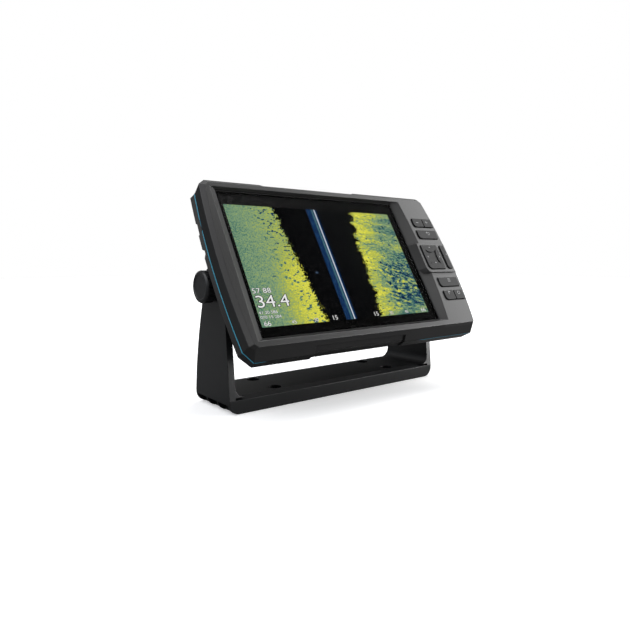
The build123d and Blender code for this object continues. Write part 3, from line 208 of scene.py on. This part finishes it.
def recoloured(material, colour, mask_of):
    """Lays a second colour over a surface where its mask says."""
    tree = material.node_tree
    shader = next(node for node in tree.nodes if node.type == "BSDF_PRINCIPLED")
    below = shader.inputs["Base Color"].links[0].from_socket
    mix = add(tree, "Mix", data_type="RGBA")
    first, second = (slot for slot in mix.inputs if slot.type == "RGBA")
    link(tree, below, first)
    second.default_value = colour
    link(tree, mask_of(tree), mix.inputs["Factor"])
    link(tree, next(slot for slot in mix.outputs if slot.type == "RGBA"), shader.inputs["Base Color"])
    return material


# ---------------------------------------------------------------- materials of the CAD nodes
COOL = (0.94, 1.0, 1.08)
finishes = {
    "shell_plastic": surface("shell_plastic", grey(0.013), 0.30, grain=0.4, depth=0.015, edge=0.8),
    "bail_plastic": surface("bail_plastic", grey(0.009, COOL), 0.33, grain=0.7, depth=0.03, edge=0.7),
    "accent": surface("accent", (0.06, 0.40, 0.58, 1), 0.35, grain=0.3, depth=0.005, edge=0.1),
    "seal_rubber": surface("seal_rubber", grey(0.012), 0.7, grain=0.5, depth=0.03, specular=0.3),
    "key_rubber": surface("key_rubber", grey(0.016), 0.46, grain=0.3, depth=0.02, specular=0.2),
    "knob_plastic": surface("knob_plastic", grey(0.012, COOL), 0.38, grain=0.5, depth=0.03, edge=0.6),
    "washer_plastic": surface("washer_plastic", grey(0.016), 0.45, grain=0.5, depth=0.01),
    "tray_steel": surface("tray_steel", grey(0.55), 0.32, metallic=1.0, grain=0.5, depth=0.004),
    "screw_steel": surface("screw_steel", grey(0.50), 0.28, metallic=1.0, grain=0.3, depth=0.004),
    "spreader_aluminium": surface("spreader_aluminium", grey(0.72), 0.38, metallic=1.0, grain=0.4,
                                  depth=0.01, stretch=(1, 12, 12)),
    "brass": surface("brass", (0.62, 0.42, 0.14, 1), 0.3, metallic=1.0, grain=0.3, depth=0.005),
    "socket_nickel": surface("socket_nickel", (0.55, 0.53, 0.49, 1), 0.3, metallic=1.0, grain=0.3,
                             depth=0.005),
    "board_green": surface("board_green", (0.012, 0.10, 0.035, 1), 0.3, mottle=0.25, depth=0.01, edge=0),
    "chip_epoxy": surface("chip_epoxy", grey(0.022), 0.6, grain=0.25, depth=0.01),
    "antenna_ceramic": surface("antenna_ceramic", (0.60, 0.56, 0.47, 1), 0.4, depth=0.008),
    "cable_polyimide": surface("cable_polyimide", (0.42, 0.16, 0.02, 1), 0.25, depth=0.004, edge=0),
    "membrane_ptfe": surface("membrane_ptfe", grey(0.75), 0.7, grain=0.2, depth=0.02, edge=0),
}


# far below real glass, to keep the mirror image in it weak
GLASS_INDEX = 1.06


def clear_glass():
    """Clear cover glass, faintly uneven in gloss, that hardly mirrors at all."""
    material, tree, shader = blank_material("cover_glass")
    shader.inputs["Base Color"].default_value = (1, 1, 1, 1)
    shader.inputs["Transmission Weight"].default_value = 1.0
    shader.inputs["IOR"].default_value = GLASS_INDEX
    place = add(tree, "TexCoord")
    haze = add(tree, "TexNoise", {"Scale": 30.0, "Detail": 2.0})
    link(tree, place.outputs["Object"], haze.inputs["Vector"])
    link(tree, span(tree, haze.outputs["Fac"], 0.0, 0.02), shader.inputs["Roughness"])
    return material


def dead_screen():
    """The panel's own dark face, under the picture."""
    return surface("lcd", grey(0.008), 0.3, grain=0.3, depth=0.003, edge=0)


def key_face_not_shaded_slope(tree):
    """Mask of the face that carries the keys, drawn a lighter grey; the slope beside the D-pad's platform is
    left out, so it keeps the darker grey as painted shade.
    """
    across, up, out = head_axes(tree)
    level = both_of(tree, ramp_at(tree, up, *SLOPE_BOTTOM), ramp_at(tree, up, *SLOPE_TOP))
    slope = both_of(tree, level, ramp_at(tree, across, *SLOPE_RIGHT))
    clear = add(tree, "Math", {0: 1.0}, operation="SUBTRACT")
    link(tree, slope, clear.inputs[1])
    face = both_of(tree, ramp_at(tree, across, *STRIP_LEFT), ramp_at(tree, out, *STRIP_FRONT))
    return both_of(tree, face, clear.outputs[0])


def dark_underside_stretch(tree):
    """Mask where the accent line is drawn near black, along the underside and left of the keys."""
    across, up, _ = head_axes(tree)
    level = ramp_at(tree, up, *RECESS_TOP)
    stretch = both_of(tree, ramp_at(tree, across, *RECESS_RIGHT), ramp_at(tree, across, *RECESS_LEFT))
    return both_of(tree, stretch, level)


# front face: the key face drawn a lighter grey, and the slope beside the D-pad's platform kept darker as
# painted shade
finishes["front_face"] = recoloured(
    surface("front_face", grey(0.013), 0.30, grain=0.4, depth=0.015, edge=0.8), grey(0.024), key_face_not_shaded_slope)
# the accent line is drawn near black along the underside, left of the keys
recoloured(finishes["accent"], grey(0.008), dark_underside_stretch)
NODE_FINISHES = {"front_bezel": "front_face"}
finishes["cover_glass"] = clear_glass()
finishes["lcd"] = dead_screen()

for subpart in frame["record"]["subparts"]:
    mesh = frame["nodes"][subpart["node"]].data
    mesh.materials.clear()
    finish = NODE_FINISHES.get(subpart["node"], subpart["material_slot"])
    mesh.materials.append(finishes[finish])


# ---------------------------------------------------------------- mesh helpers
def piece_from(name, mesh, matrix, material, body):
    """Puts a mesh in the scene as a named piece of one body."""
    piece = bpy.data.objects.new(name, mesh)
    bpy.context.scene.collection.objects.link(piece)
    piece.matrix_world = matrix
    mesh.materials.clear()
    mesh.materials.append(material)
    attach(piece, body)
    return piece


def plates(name, outlines, thickness):
    """Mesh of flat plates from outlines in millimetres, standing on z 0, thickness millimetres high."""
    made = bmesh.new()
    for outline in outlines:
        corners = [made.verts.new((x * MM, y * MM, 0)) for x, y in outline]
        made.faces.new(corners)
    raised = bmesh.ops.extrude_face_region(made, geom=made.faces[:])
    tops = [item for item in raised["geom"] if isinstance(item, bmesh.types.BMVert)]
    bmesh.ops.translate(made, verts=tops, vec=(0, 0, thickness * MM))
    bmesh.ops.recalc_face_normals(made, faces=made.faces[:])
    mesh = bpy.data.meshes.new(name)
    made.to_mesh(mesh)
    made.free()
    return mesh


def round_box(left, right, bottom, top, radius, steps=6):
    """Outline of a rectangle with round corners."""
    corners = ((right, top, 0), (left, top, 1), (left, bottom, 2), (right, bottom, 3))
    points = []
    for x, y, quarter in corners:
        middle_x = x - math.copysign(radius, x - (left + right) / 2)
        middle_y = y - math.copysign(radius, y - (bottom + top) / 2)
        for step in range(steps + 1):
            turn = math.pi / 2 * (quarter + step / steps)
            points.append((middle_x + radius * math.cos(turn), middle_y + radius * math.sin(turn)))
    return points


def ribbon(points, width):
    """Quads that follow a line of points at an even width, with mitred joints, as outlines."""
    line = [Vector(point) for point in points]
    sides = []
    for index, point in enumerate(line):
        before = (point - line[index - 1]).normalized() if index else None
        after = (line[index + 1] - point).normalized() if index + 1 < len(line) else None
        along = ((before or after) + (after or before)).normalized()
        across = Vector((-along.y, along.x))
        lean = across.dot(Vector((-(before or after).y, (before or after).x)))
        sides.append((point + across * width / 2 / lean, point - across * width / 2 / lean))
    return [
        [sides[i][0], sides[i][1], sides[i + 1][1], sides[i + 1][0]] for i in range(len(sides) - 1)
    ]


def arc(middle, radius, start, end, steps=14):
    """Points of an arc, with its angles in degrees."""
    return [
        (
            middle[0] + radius * math.cos(math.radians(start + (end - start) * step / steps)),
            middle[1] + radius * math.sin(math.radians(start + (end - start) * step / steps)),
        )
        for step in range(steps + 1)
    ]


# ---------------------------------------------------------------- screen
# places along the ramp and colours of the sea bed, from no echo to the hardest, and of the blue band
BED_SHADES = (
    (0.0, (0.002, 0.012, 0.045)), (0.20, (0.006, 0.041, 0.102)), (0.33, (0.028, 0.091, 0.122)),
    (0.42, (0.054, 0.150, 0.127)), (0.50, (0.095, 0.195, 0.122)), (0.57, (0.178, 0.301, 0.195)),
    (0.66, (0.250, 0.352, 0.135)), (0.76, (0.370, 0.434, 0.085)), (0.86, (0.510, 0.527, 0.065)),
    (1.0, (0.730, 0.708, 0.080)),
)
BAND_SHADES = (
    (0.30, (0.003, 0.014, 0.055)), (0.62, (0.006, 0.034, 0.105)), (0.80, (0.030, 0.090, 0.160)),
)
WATER_COLOUR = (0.0004, 0.0005, 0.0008, 1)
STREAK_COLOUR = (0.10, 0.24, 0.24, 1)
TRACK_COLOUR = (0.66, 0.74, 0.80, 1)
FISH_COLOUR = (0.09, 0.16, 0.28, 1)
# place across and up the screen, size and strength of each small echo in the water
FISHES = ((0.375, 0.412, 0.014, 0.5), (0.636, 0.575, 0.007, 0.12))


def sonar_picture():
    """Side-scan sonar picture: two speckled banks of sea bed with a dark water column between them."""
    material, tree, shader = blank_material("screen_picture")
    shader.inputs["Base Color"].default_value = grey(0.002)
    shader.inputs["Specular IOR Level"].default_value = 0.0

    def fill(socket, value):
        """Sets a socket to a fixed value or feeds it from another socket."""
        if isinstance(value, (int, float, tuple)):
            socket.default_value = value
        else:
            link(tree, value, socket)

    def maths(operation, *values):
        made = add(tree, "Math", operation=operation)
        for socket, value in zip(made.inputs, values):
            fill(socket, value)
        return made.outputs[0]

    def total(*values):
        """Sum of several values."""
        result = values[0]
        for value in values[1:]:
            result = maths("ADD", result, value)
        return result

    def times(*values):
        """Product of several values."""
        result = values[0]
        for value in values[1:]:
            result = maths("MULTIPLY", result, value)
        return result

    def noise(scale, detail=2.0, rough=0.5, turn=0.0, shift=(0, 0, 0)):
        """Noise between 0 and 1 with its own scale across and up the screen."""
        turned = add(tree, "Mapping", {"Rotation": (0, 0, turn), "Location": shift})
        link(tree, screen, turned.inputs["Vector"])
        stretched = add(tree, "Mapping", {"Scale": (*scale, 1)})
        link(tree, turned.outputs["Vector"], stretched.inputs["Vector"])
        made = add(tree, "TexNoise", {"Scale": 1.0, "Detail": detail, "Roughness": rough})
        link(tree, stretched.outputs["Vector"], made.inputs["Vector"])
        return made.outputs["Fac"]

    def step(value, low, high):
        """Smooth step of a value from low to high, or back where low is above high."""
        made = add(tree, "MapRange", {"From Min": low, "From Max": high}, interpolation_type="SMOOTHSTEP")
        link(tree, value, made.inputs["Value"])
        return made.outputs["Result"]

    def swell(value, weight):
        """Noise turned into a signed push of up to weight / 2 either way."""
        return maths("MULTIPLY", maths("SUBTRACT", value, 0.5), weight)

    def mixed(factor, first, second):
        """One colour laid over another."""
        made = add(tree, "Mix", data_type="RGBA")
        link(tree, factor, made.inputs["Factor"])
        first_colour, second_colour = (slot for slot in made.inputs if slot.type == "RGBA")
        fill(first_colour, first)
        fill(second_colour, second)
        return next(slot for slot in made.outputs if slot.type == "RGBA")

    def ramp(value, stops):
        """Colour ramp through a list of places and colours."""
        made = add(tree, "ValToRGB")
        elements = made.color_ramp.elements
        for index, (where, shade) in enumerate(stops):
            stop = elements[index] if index < 2 else elements.new(where)
            stop.position = where
            stop.color = shade + (1,)
        link(tree, value, made.inputs["Fac"])
        return made.outputs["Color"]

    place = add(tree, "TexCoord")
    to_screen = add(tree, "Mapping", {
        "Scale": (1 / (SCREEN_WIDTH * MM), 1 / (SCREEN_HEIGHT * MM), 1), "Location": (0.5, 0.5, 0),
    })
    link(tree, place.outputs["Object"], to_screen.inputs["Vector"])
    screen = to_screen.outputs["Vector"]
    parts = add(tree, "SeparateXYZ")
    link(tree, screen, parts.inputs["Vector"])
    across, up = parts.outputs["X"], parts.outputs["Y"]

    # the two shores, with bays, spikes and a crumbled rim
    crumble = total(swell(noise((110, 80), 2.0, 0.6), 0.085), swell(noise((24, 30), 3.0, 0.7), 0.075))
    left_shore = total(maths("MULTIPLY_ADD", up, -0.085, 0.335), crumble)
    left_bank = step(maths("SUBTRACT", left_shore, across), 0.0, 0.003)
    bay = swell(noise((0.5, 8), 3.0, 0.65, shift=(0, 0.77, 0)), 0.14)
    right_shore = total(maths("MULTIPLY_ADD", up, 0.062, 0.662), bay, crumble)
    right_bank = step(maths("SUBTRACT", across, right_shore), 0.0, 0.003)

    # strength of the echo over each bank, from 0 for none to 1 for the hardest
    grain = total(swell(noise((210, 130), 1.0, 0.6), 0.60), swell(noise((75, 55), 2.0, 0.6), 0.42))
    slope = maths("MULTIPLY_ADD", across, 0.60, 0.535)
    hard_bed = times(step(across, 0.11, 0.24), step(up, 0.70, 0.32), 0.19)
    near_left = times(step(maths("SUBTRACT", left_shore, across), 0.14, 0.02), 0.04)
    left_echo = total(slope, hard_bed, near_left, grain, swell(noise((5, 7), 3.0, 0.6), 0.20))
    from_shore = maths("SUBTRACT", across, right_shore)
    fading = maths("MAXIMUM", maths("MULTIPLY_ADD", from_shore, -1.5, 0.86), 0.56)
    drift = swell(noise((4.5, 13), 4.0, 0.62, turn=0.20, shift=(2.6, 0.35, 0)), 1.1)
    right_echo = total(fading, drift, grain, swell(noise((52, 66), 2.0, 0.65), 0.85))

    # rocks: pale crests with deep shadows, crowded low on the right and along the left shore
    field = times(step(across, 0.74, 0.82), step(up, 0.03, 0.14), step(up, 0.54, 0.44))
    crests = swell(noise((30, 44), 2.5, 0.62, turn=0.6, shift=(1.3, 0.4, 0)), 2.6)
    right_echo = total(right_echo, times(field, maths("SUBTRACT", crests, 0.16)))
    pits = step(noise((42, 38), 2.0, 0.6, turn=0.7, shift=(9.1, 5.2, 0)), 0.57, 0.62)
    belt = step(maths("SUBTRACT", left_shore, across), 0.16, 0.04)
    left_echo = maths("SUBTRACT", left_echo, times(pits, belt, 0.55))
    scars = step(noise((13, 15), 2.0, 0.5, turn=-0.5, shift=(3.4, 1.9, 0)), 0.70, 0.72)
    left_echo = maths("SUBTRACT", left_echo, times(scars, step(across, 0.08, 0.14), 0.5))

    holes = step(noise((34, 40), 2.5, 0.6, turn=0.9, shift=(4.7, 8.8, 0)), 0.60, 0.66)
    right_echo = maths("SUBTRACT", right_echo, times(holes, 0.45))
    side = step(across, 0.49, 0.51)
    echo = total(times(left_echo, maths("SUBTRACT", 1.0, side)), times(right_echo, side))
    bed = ramp(echo, BED_SHADES)

    # the water column: blue surface band, the white line of the boat's track, and two small fish
    band = times(step(across, 0.443, 0.450), step(across, 0.515, 0.503))
    blue = ramp(noise((90, 26), 2.0, 0.6), BAND_SHADES)
    streak = times(step(across, 0.472, 0.480), step(across, 0.490, 0.482), noise((60, 40), 2.0, 0.6))
    blue = mixed(streak, blue, STREAK_COLOUR)
    track = times(step(across, 0.4915, 0.4945), step(across, 0.4998, 0.4968))
    water = mixed(band, WATER_COLOUR, blue)
    water = mixed(track, water, TRACK_COLOUR)
    for fish_across, fish_up, size, strength in FISHES:
        away = maths("SQRT", total(
            maths("POWER", maths("SUBTRACT", across, fish_across), 2),
            maths("POWER", maths("SUBTRACT", up, fish_up), 2),
        ))
        water = mixed(times(step(away, size, 0.0), strength), water, FISH_COLOUR)
    picture = mixed(maths("MAXIMUM", left_bank, right_bank), water, bed)
    link(tree, picture, shader.inputs["Emission Color"])
    shader.inputs["Emission Strength"].default_value = 1.0
    return material


picture_front = front_of("lcd_panel") + LAYER_GAP
half_width = SCREEN_WIDTH / 2
half_height = SCREEN_HEIGHT / 2
picture_outline = [(-half_width, -half_height), (half_width, -half_height),
                   (half_width, half_height), (-half_width, half_height)]
piece_from(
    "screen_picture", plates("screen_picture", [picture_outline], PRINT_THICKNESS),
    on_head(SCREEN_MIDDLE, 0, picture_front), sonar_picture(), "head",
)


def frame_plate(name, outer, inner, thickness):
    """Flat frame between two outlines of the same number of points, standing on z 0."""
    made = bmesh.new()
    rings = [
        [made.verts.new((x * MM, y * MM, z * MM)) for x, y in outline]
        for outline, z in ((outer, 0), (inner, 0), (inner, thickness), (outer, thickness))
    ]
    for first, second in zip(rings, rings[1:] + rings[:1]):
        for i in range(len(first)):
            j = (i + 1) % len(first)
            made.faces.new((first[i], first[j], second[j], second[i]))
    bmesh.ops.recalc_face_normals(made, faces=made.faces[:])
    mesh = bpy.data.meshes.new(name)
    made.to_mesh(mesh)
    made.free()
    return mesh


def upper_left(tree):
    """Mask that grows towards the border's upper left, where the print is greyer.

    The grey stands in for a reflection in the photograph. It is fixed to the object."""
    across, up, _ = head_axes(tree)
    return both_of(tree, ramp_at(tree, across, *SHEEN_ACROSS), ramp_at(tree, up, *SHEEN_UP))


border_black = recoloured(
    surface("border_print", grey(0.003), 0.6, grain=0.2, depth=0.002, edge=0, specular=0.0),
    grey(0.045), upper_left)
piece_from(
    "border_print",
    frame_plate(
        "border_print",
        round_box(GLASS_LEFT, GLASS_RIGHT, GLASS_BOTTOM, GLASS_TOP, PRINT_CORNER),
        round_box(SCREEN_MIDDLE - half_width, SCREEN_MIDDLE + half_width, -half_height, half_height,
                  PICTURE_CORNER),
        PRINT_THICKNESS,
    ),
    on_head(0, 0, picture_front + PRINT_THICKNESS + LAYER_GAP), border_black, "head",
)

# black edge all round, just inside the pane, meant to hide the seal beside it
edge_bottom = picture_front + PRINT_THICKNESS + 2 * LAYER_GAP + PRINT_THICKNESS
edge_box = (GLASS_LEFT - EDGE_REACH, GLASS_RIGHT + EDGE_REACH, GLASS_BOTTOM - EDGE_REACH,
            GLASS_TOP + EDGE_REACH)
inner_box = (GLASS_LEFT, GLASS_RIGHT, GLASS_BOTTOM, GLASS_TOP)
piece_from(
    "border_edge",
    frame_plate("border_edge", round_box(*edge_box, EDGE_CORNER), round_box(*inner_box, EDGE_CORNER),
                front_of("cover_glass") - LAYER_GAP - edge_bottom),
    on_head(0, 0, edge_bottom), border_black, "head",
)


# ---------------------------------------------------------------- figures on the screen
def glow(name, colour):
    """Lit print on the screen, very slightly uneven like its pixels."""
    material, tree, shader = blank_material(name)
    shader.inputs["Base Color"].default_value = grey(0.002)
    shader.inputs["Specular IOR Level"].default_value = 0.0
    place = add(tree, "TexCoord")
    pixels = add(tree, "TexNoise", {"Scale": 2500.0, "Detail": 1.0})
    link(tree, place.outputs["Object"], pixels.inputs["Vector"])
    shades = add(tree, "ValToRGB")
    shades.color_ramp.elements[0].color = scaled(colour, 0.85)
    shades.color_ramp.elements[1].color = colour
    link(tree, pixels.outputs["Fac"], shades.inputs["Fac"])
    link(tree, shades.outputs["Color"], shader.inputs["Emission Color"])
    shader.inputs["Emission Strength"].default_value = 1.0
    return material


figure_white = glow("figure_white", grey(0.86))
figure_dark = glow("figure_dark", grey(0.02))
# shares of the digits' height: their change of weight, and how far their dark edge reaches
FIGURE_WEIGHT = -0.004
FIGURE_EDGE = 0.05
# share of the font's size that its digits stand high
DIGIT_SHARE = 0.7


def figures(name, text, left, bottom, height, stretch, layer, swell=0.0):
    """Upright digits on the screen as a thin plate; swell makes them fatter by that much all round."""
    curve = bpy.data.curves.new(name + "_outline", "FONT")
    curve.body = text
    curve.size = height * MM / DIGIT_SHARE
    curve.offset = (swell + height * FIGURE_WEIGHT) * MM
    curve.extrude = PRINT_THICKNESS * MM / 4
    carrier = bpy.data.objects.new(name + "_outline", curve)
    bpy.context.scene.collection.objects.link(carrier)
    bpy.context.view_layer.update()
    mesh = bpy.data.meshes.new_from_object(carrier.evaluated_get(bpy.context.evaluated_depsgraph_get()))
    mesh.name = name
    mesh.transform(Matrix.Diagonal((stretch, 1, 1, 1)))
    bpy.data.objects.remove(carrier)
    depth = picture_front + PRINT_THICKNESS + LAYER_GAP * (1 + layer)
    material = figure_dark if swell else figure_white
    return piece_from(name, mesh, on_head(left, bottom, depth), material, "head")


# text, place of its lower left corner, height of its digits, and how much wider than tall they are drawn
FIGURES = {
    "depth": ("34.4", -118.4, -41.0, 11.0, 1.24),
    "speed": ("57 88", -118.6, -28.0, 4.6, 1.25),
    "place_north": ("41 20 586", -118.4, -46.8, 2.6, 1.2),
    "place_east": ("070 15 204", -118.4, -51.0, 2.6, 1.2),
    "range_left_far": ("66", -117.0, -57.4, 4.2, 1.15),
    "range_left_outer": ("45", -90.0, -57.4, 3.2, 1.1),
    "range_left_inner": ("30", -67.0, -57.4, 3.2, 1.1),
    "range_right_inner": ("30", 24.0, -57.4, 3.2, 1.1),
    "range_right_outer": ("45", 45.0, -57.4, 3.2, 1.1),
    "range_left": ("15", -47.0, -57.4, 4.2, 1.15),
    "range_right": ("15", 3.0, -57.4, 4.2, 1.15),
    "range_right_far": ("66", 68.5, -57.4, 4.2, 1.15),
}
for label, (text, left, bottom, height, stretch) in FIGURES.items():
    figures(f"figures_{label}", text, left, bottom, height, stretch, 2)
    figures(f"figures_{label}_edge", text, left, bottom, height, stretch, 1, swell=height * FIGURE_EDGE)


# ---------------------------------------------------------------- marks on the keys
mark_paint = surface("mark_paint", grey(0.26), 0.5, grain=0.15, depth=0.004, edge=0)
ICONS = {
    "zoom_out": (114.2, 45.8, ribbon([(-ZOOM_ARM, 0), (ZOOM_ARM, 0)], ICON_LINE)),
    "zoom_in": (129.5, 46.7, ribbon([(-ZOOM_ARM, 0), (ZOOM_ARM, 0)], ICON_LINE)
                + ribbon([(0, ZOOM_ARM), (0, ICON_LINE / 2)], ICON_LINE)
                + ribbon([(0, -ICON_LINE / 2), (0, -ZOOM_ARM)], ICON_LINE)),
    "back": (123.8, 31.9, ribbon([(-2.2, 1.2), (0.8, 1.2)] + arc((0.8, -0.2), 1.4, 80, -90), ICON_LINE)
             + ribbon([(0.7, -1.6), (-0.8, -1.6)], ICON_LINE)
             + ribbon([(-1.0, 2.4), (-2.3, 1.2), (-1.0, 0.0)], ICON_LINE)),
    "select": (136.7, 4.7, ribbon([(-1.6, 0.1), (-0.5, -1.2), (1.7, 1.5)], ICON_LINE)),
    "menu": (123.9, -26.5, [outline for y in (-1.5, 0, 1.5)
                            for outline in ribbon([(-1.9, y), (1.9, y)], ICON_LINE)]),
    "mark": (115.7, -41.2, ribbon([(-1.2, -2.1), (-1.2, 2.1)], ICON_LINE)
             + [[(-0.8, 2.1), (-0.8, 0.0), (2.0, 1.05)]]),
    "power": (130.7, -41.7, ribbon(arc((0, 0), 1.8, 125, 415, 24), ICON_LINE)
              + ribbon([(0, 0.5), (0, 2.5)], ICON_LINE)),
}
for key, (x, y, outlines) in ICONS.items():
    piece_from(
        f"icon_{key}", plates(f"icon_{key}", outlines, ICON_HEIGHT),
        on_head(x, y, front_of(f"key_{key}") - ICON_SINK), mark_paint, f"{key}_key",
    )

arrows = []
for turn, reach in ARROW_REACHES.items():
    along = Vector((math.cos(math.radians(turn)), math.sin(math.radians(turn))))
    across = Vector((-along.y, along.x))
    foot = along * reach
    arrows.append([foot + along * ARROW_LENGTH, foot + across * ARROW_HALF, foot - across * ARROW_HALF])
piece_from(
    "icon_dpad", plates("icon_dpad", arrows, ICON_HEIGHT),
    on_head(DPAD_ACROSS, DPAD_UP, front_of("key_dpad") - ICON_SINK), mark_paint, "dpad",
)


# ---------------------------------------------------------------- floor, light and camera
FLOOR_HALF = 3.0
FLOOR_DROP = 0.0002
FLOOR_WHITE = 0.9
FLOOR_GLOW = 0.35
FLOOR_UNSEEN = 0.15
CAMERA_PLACE = (-0.34914, -0.43206, 0.13521)
CAMERA_TILT = 83.772
CAMERA_TURN = -38.081
CAMERA_LENS = 31.178


def split_by_camera(tree, seen, unseen, output):
    """Shows one shader to the camera and another to reflections and light."""
    path = add(tree, "LightPath")
    mix = add(tree, "MixShader")
    link(tree, path.outputs["Is Camera Ray"], mix.inputs["Fac"])
    link(tree, unseen.outputs[0], mix.inputs[1])
    link(tree, seen.outputs[0], mix.inputs[2])
    link(tree, mix.outputs["Shader"], output.inputs["Surface"])


def studio_floor():
    """Pale floor that takes the soft shadow under the bracket, and is dim in reflections."""
    corners = [(x * FLOOR_HALF, y * FLOOR_HALF, 0) for x, y in ((-1, -1), (1, -1), (1, 1), (-1, 1))]
    mesh = bpy.data.meshes.new("floor")
    mesh.from_pydata(corners, [], [(0, 1, 2, 3)])
    floor = bpy.data.objects.new("floor", mesh)
    bpy.context.scene.collection.objects.link(floor)
    floor.location.z = -FLOOR_DROP
    material = bpy.data.materials.new("floor")
    material.use_nodes = True
    tree = material.node_tree
    tree.nodes.clear()
    white = add(tree, "BsdfDiffuse", {"Color": grey(FLOOR_WHITE)})
    lift = add(tree, "Emission", {"Color": grey(1.0), "Strength": FLOOR_GLOW})
    both = add(tree, "AddShader")
    link(tree, white.outputs[0], both.inputs[0])
    link(tree, lift.outputs[0], both.inputs[1])
    dim = add(tree, "BsdfDiffuse", {"Color": grey(FLOOR_UNSEEN)})
    split_by_camera(tree, both, dim, add(tree, "OutputMaterial"))
    mesh.materials.append(material)


# direction the light comes from, how tight it is, and its colour times its strength: they began as a
# least-squares fit to grey levels of the photograph, and some were then changed; six of the
# directions, the tightness values and the strengths 9.0, 1.7 and 0.55 are still the fit's, rounded
LOBES = (
    ((0.90, -0.22, 0.38), 45.0, (4.2, 4.2, 4.2)),
    ((0.80, -0.18, 0.58), 45.0, (2.6, 2.6, 2.6)),
    ((0.64, 0.00, 0.77), 45.0, (3.0, 3.0, 3.0)),
    ((-0.35, -0.75, 0.56), 45.0, (2.6, 2.6, 2.6)),
    ((0.40, 0.14, 0.91), 45.0, (9.0, 9.0, 9.0)),
    ((0.76, -0.64, 0.09), 45.0, (22.0, 22.0, 22.0)),
    ((0.41, -0.71, 0.57), 45.0, (1.7, 1.7, 1.7)),
    ((-0.47, 0.00, 0.88), 12.0, (3.5, 3.5, 3.6)),
    ((-0.90, 0.00, 0.43), 12.0, (1.4, 1.5, 1.6)),
    ((0.00, 0.99, 0.14), 12.0, (0.55, 0.55, 0.55)),
)


def studio_world():
    """Dark room with a few soft lights, and a white backdrop that only the camera sees."""
    world = bpy.data.worlds.new("studio")
    world.use_nodes = True
    tree = world.node_tree
    tree.nodes.clear()
    place = add(tree, "TexCoord")
    total = None
    for direction, tightness, colour in LOBES:
        facing = add(tree, "VectorMath", {1: Vector(direction).normalized()}, operation="DOT_PRODUCT")
        link(tree, place.outputs["Generated"], facing.inputs[0])
        fall = add(tree, "Math", {1: tightness, 2: -tightness}, operation="MULTIPLY_ADD")
        link(tree, facing.outputs["Value"], fall.inputs[0])
        power = add(tree, "Math", operation="EXPONENT")
        link(tree, fall.outputs[0], power.inputs[0])
        share = add(tree, "VectorMath", {0: colour}, operation="SCALE")
        link(tree, power.outputs[0], share.inputs["Scale"])
        if total is None:
            total = share.outputs[0]
            continue
        both = add(tree, "VectorMath", operation="ADD")
        link(tree, total, both.inputs[0])
        link(tree, share.outputs[0], both.inputs[1])
        total = both.outputs[0]
    room = add(tree, "Background", {"Strength": 1.0})
    link(tree, total, room.inputs["Color"])
    backdrop = add(tree, "Background", {"Color": (1, 1, 1, 1), "Strength": 1.0})
    split_by_camera(tree, backdrop, room, add(tree, "OutputWorld"))
    bpy.context.scene.world = world


def camera():
    """Camera at the photograph's viewing angle, solved from the four corners of its lit picture."""
    data = bpy.data.cameras.new("camera")
    data.sensor_width = 36.0
    data.lens = CAMERA_LENS
    data.clip_start = 0.01
    viewer = bpy.data.objects.new("camera", data)
    viewer.location = CAMERA_PLACE
    viewer.rotation_euler = (math.radians(CAMERA_TILT), 0, math.radians(CAMERA_TURN))
    bpy.context.scene.collection.objects.link(viewer)
    bpy.context.scene.camera = viewer


studio_floor()
studio_world()
camera()
bpy.context.scene.view_settings.view_transform = "Standard"
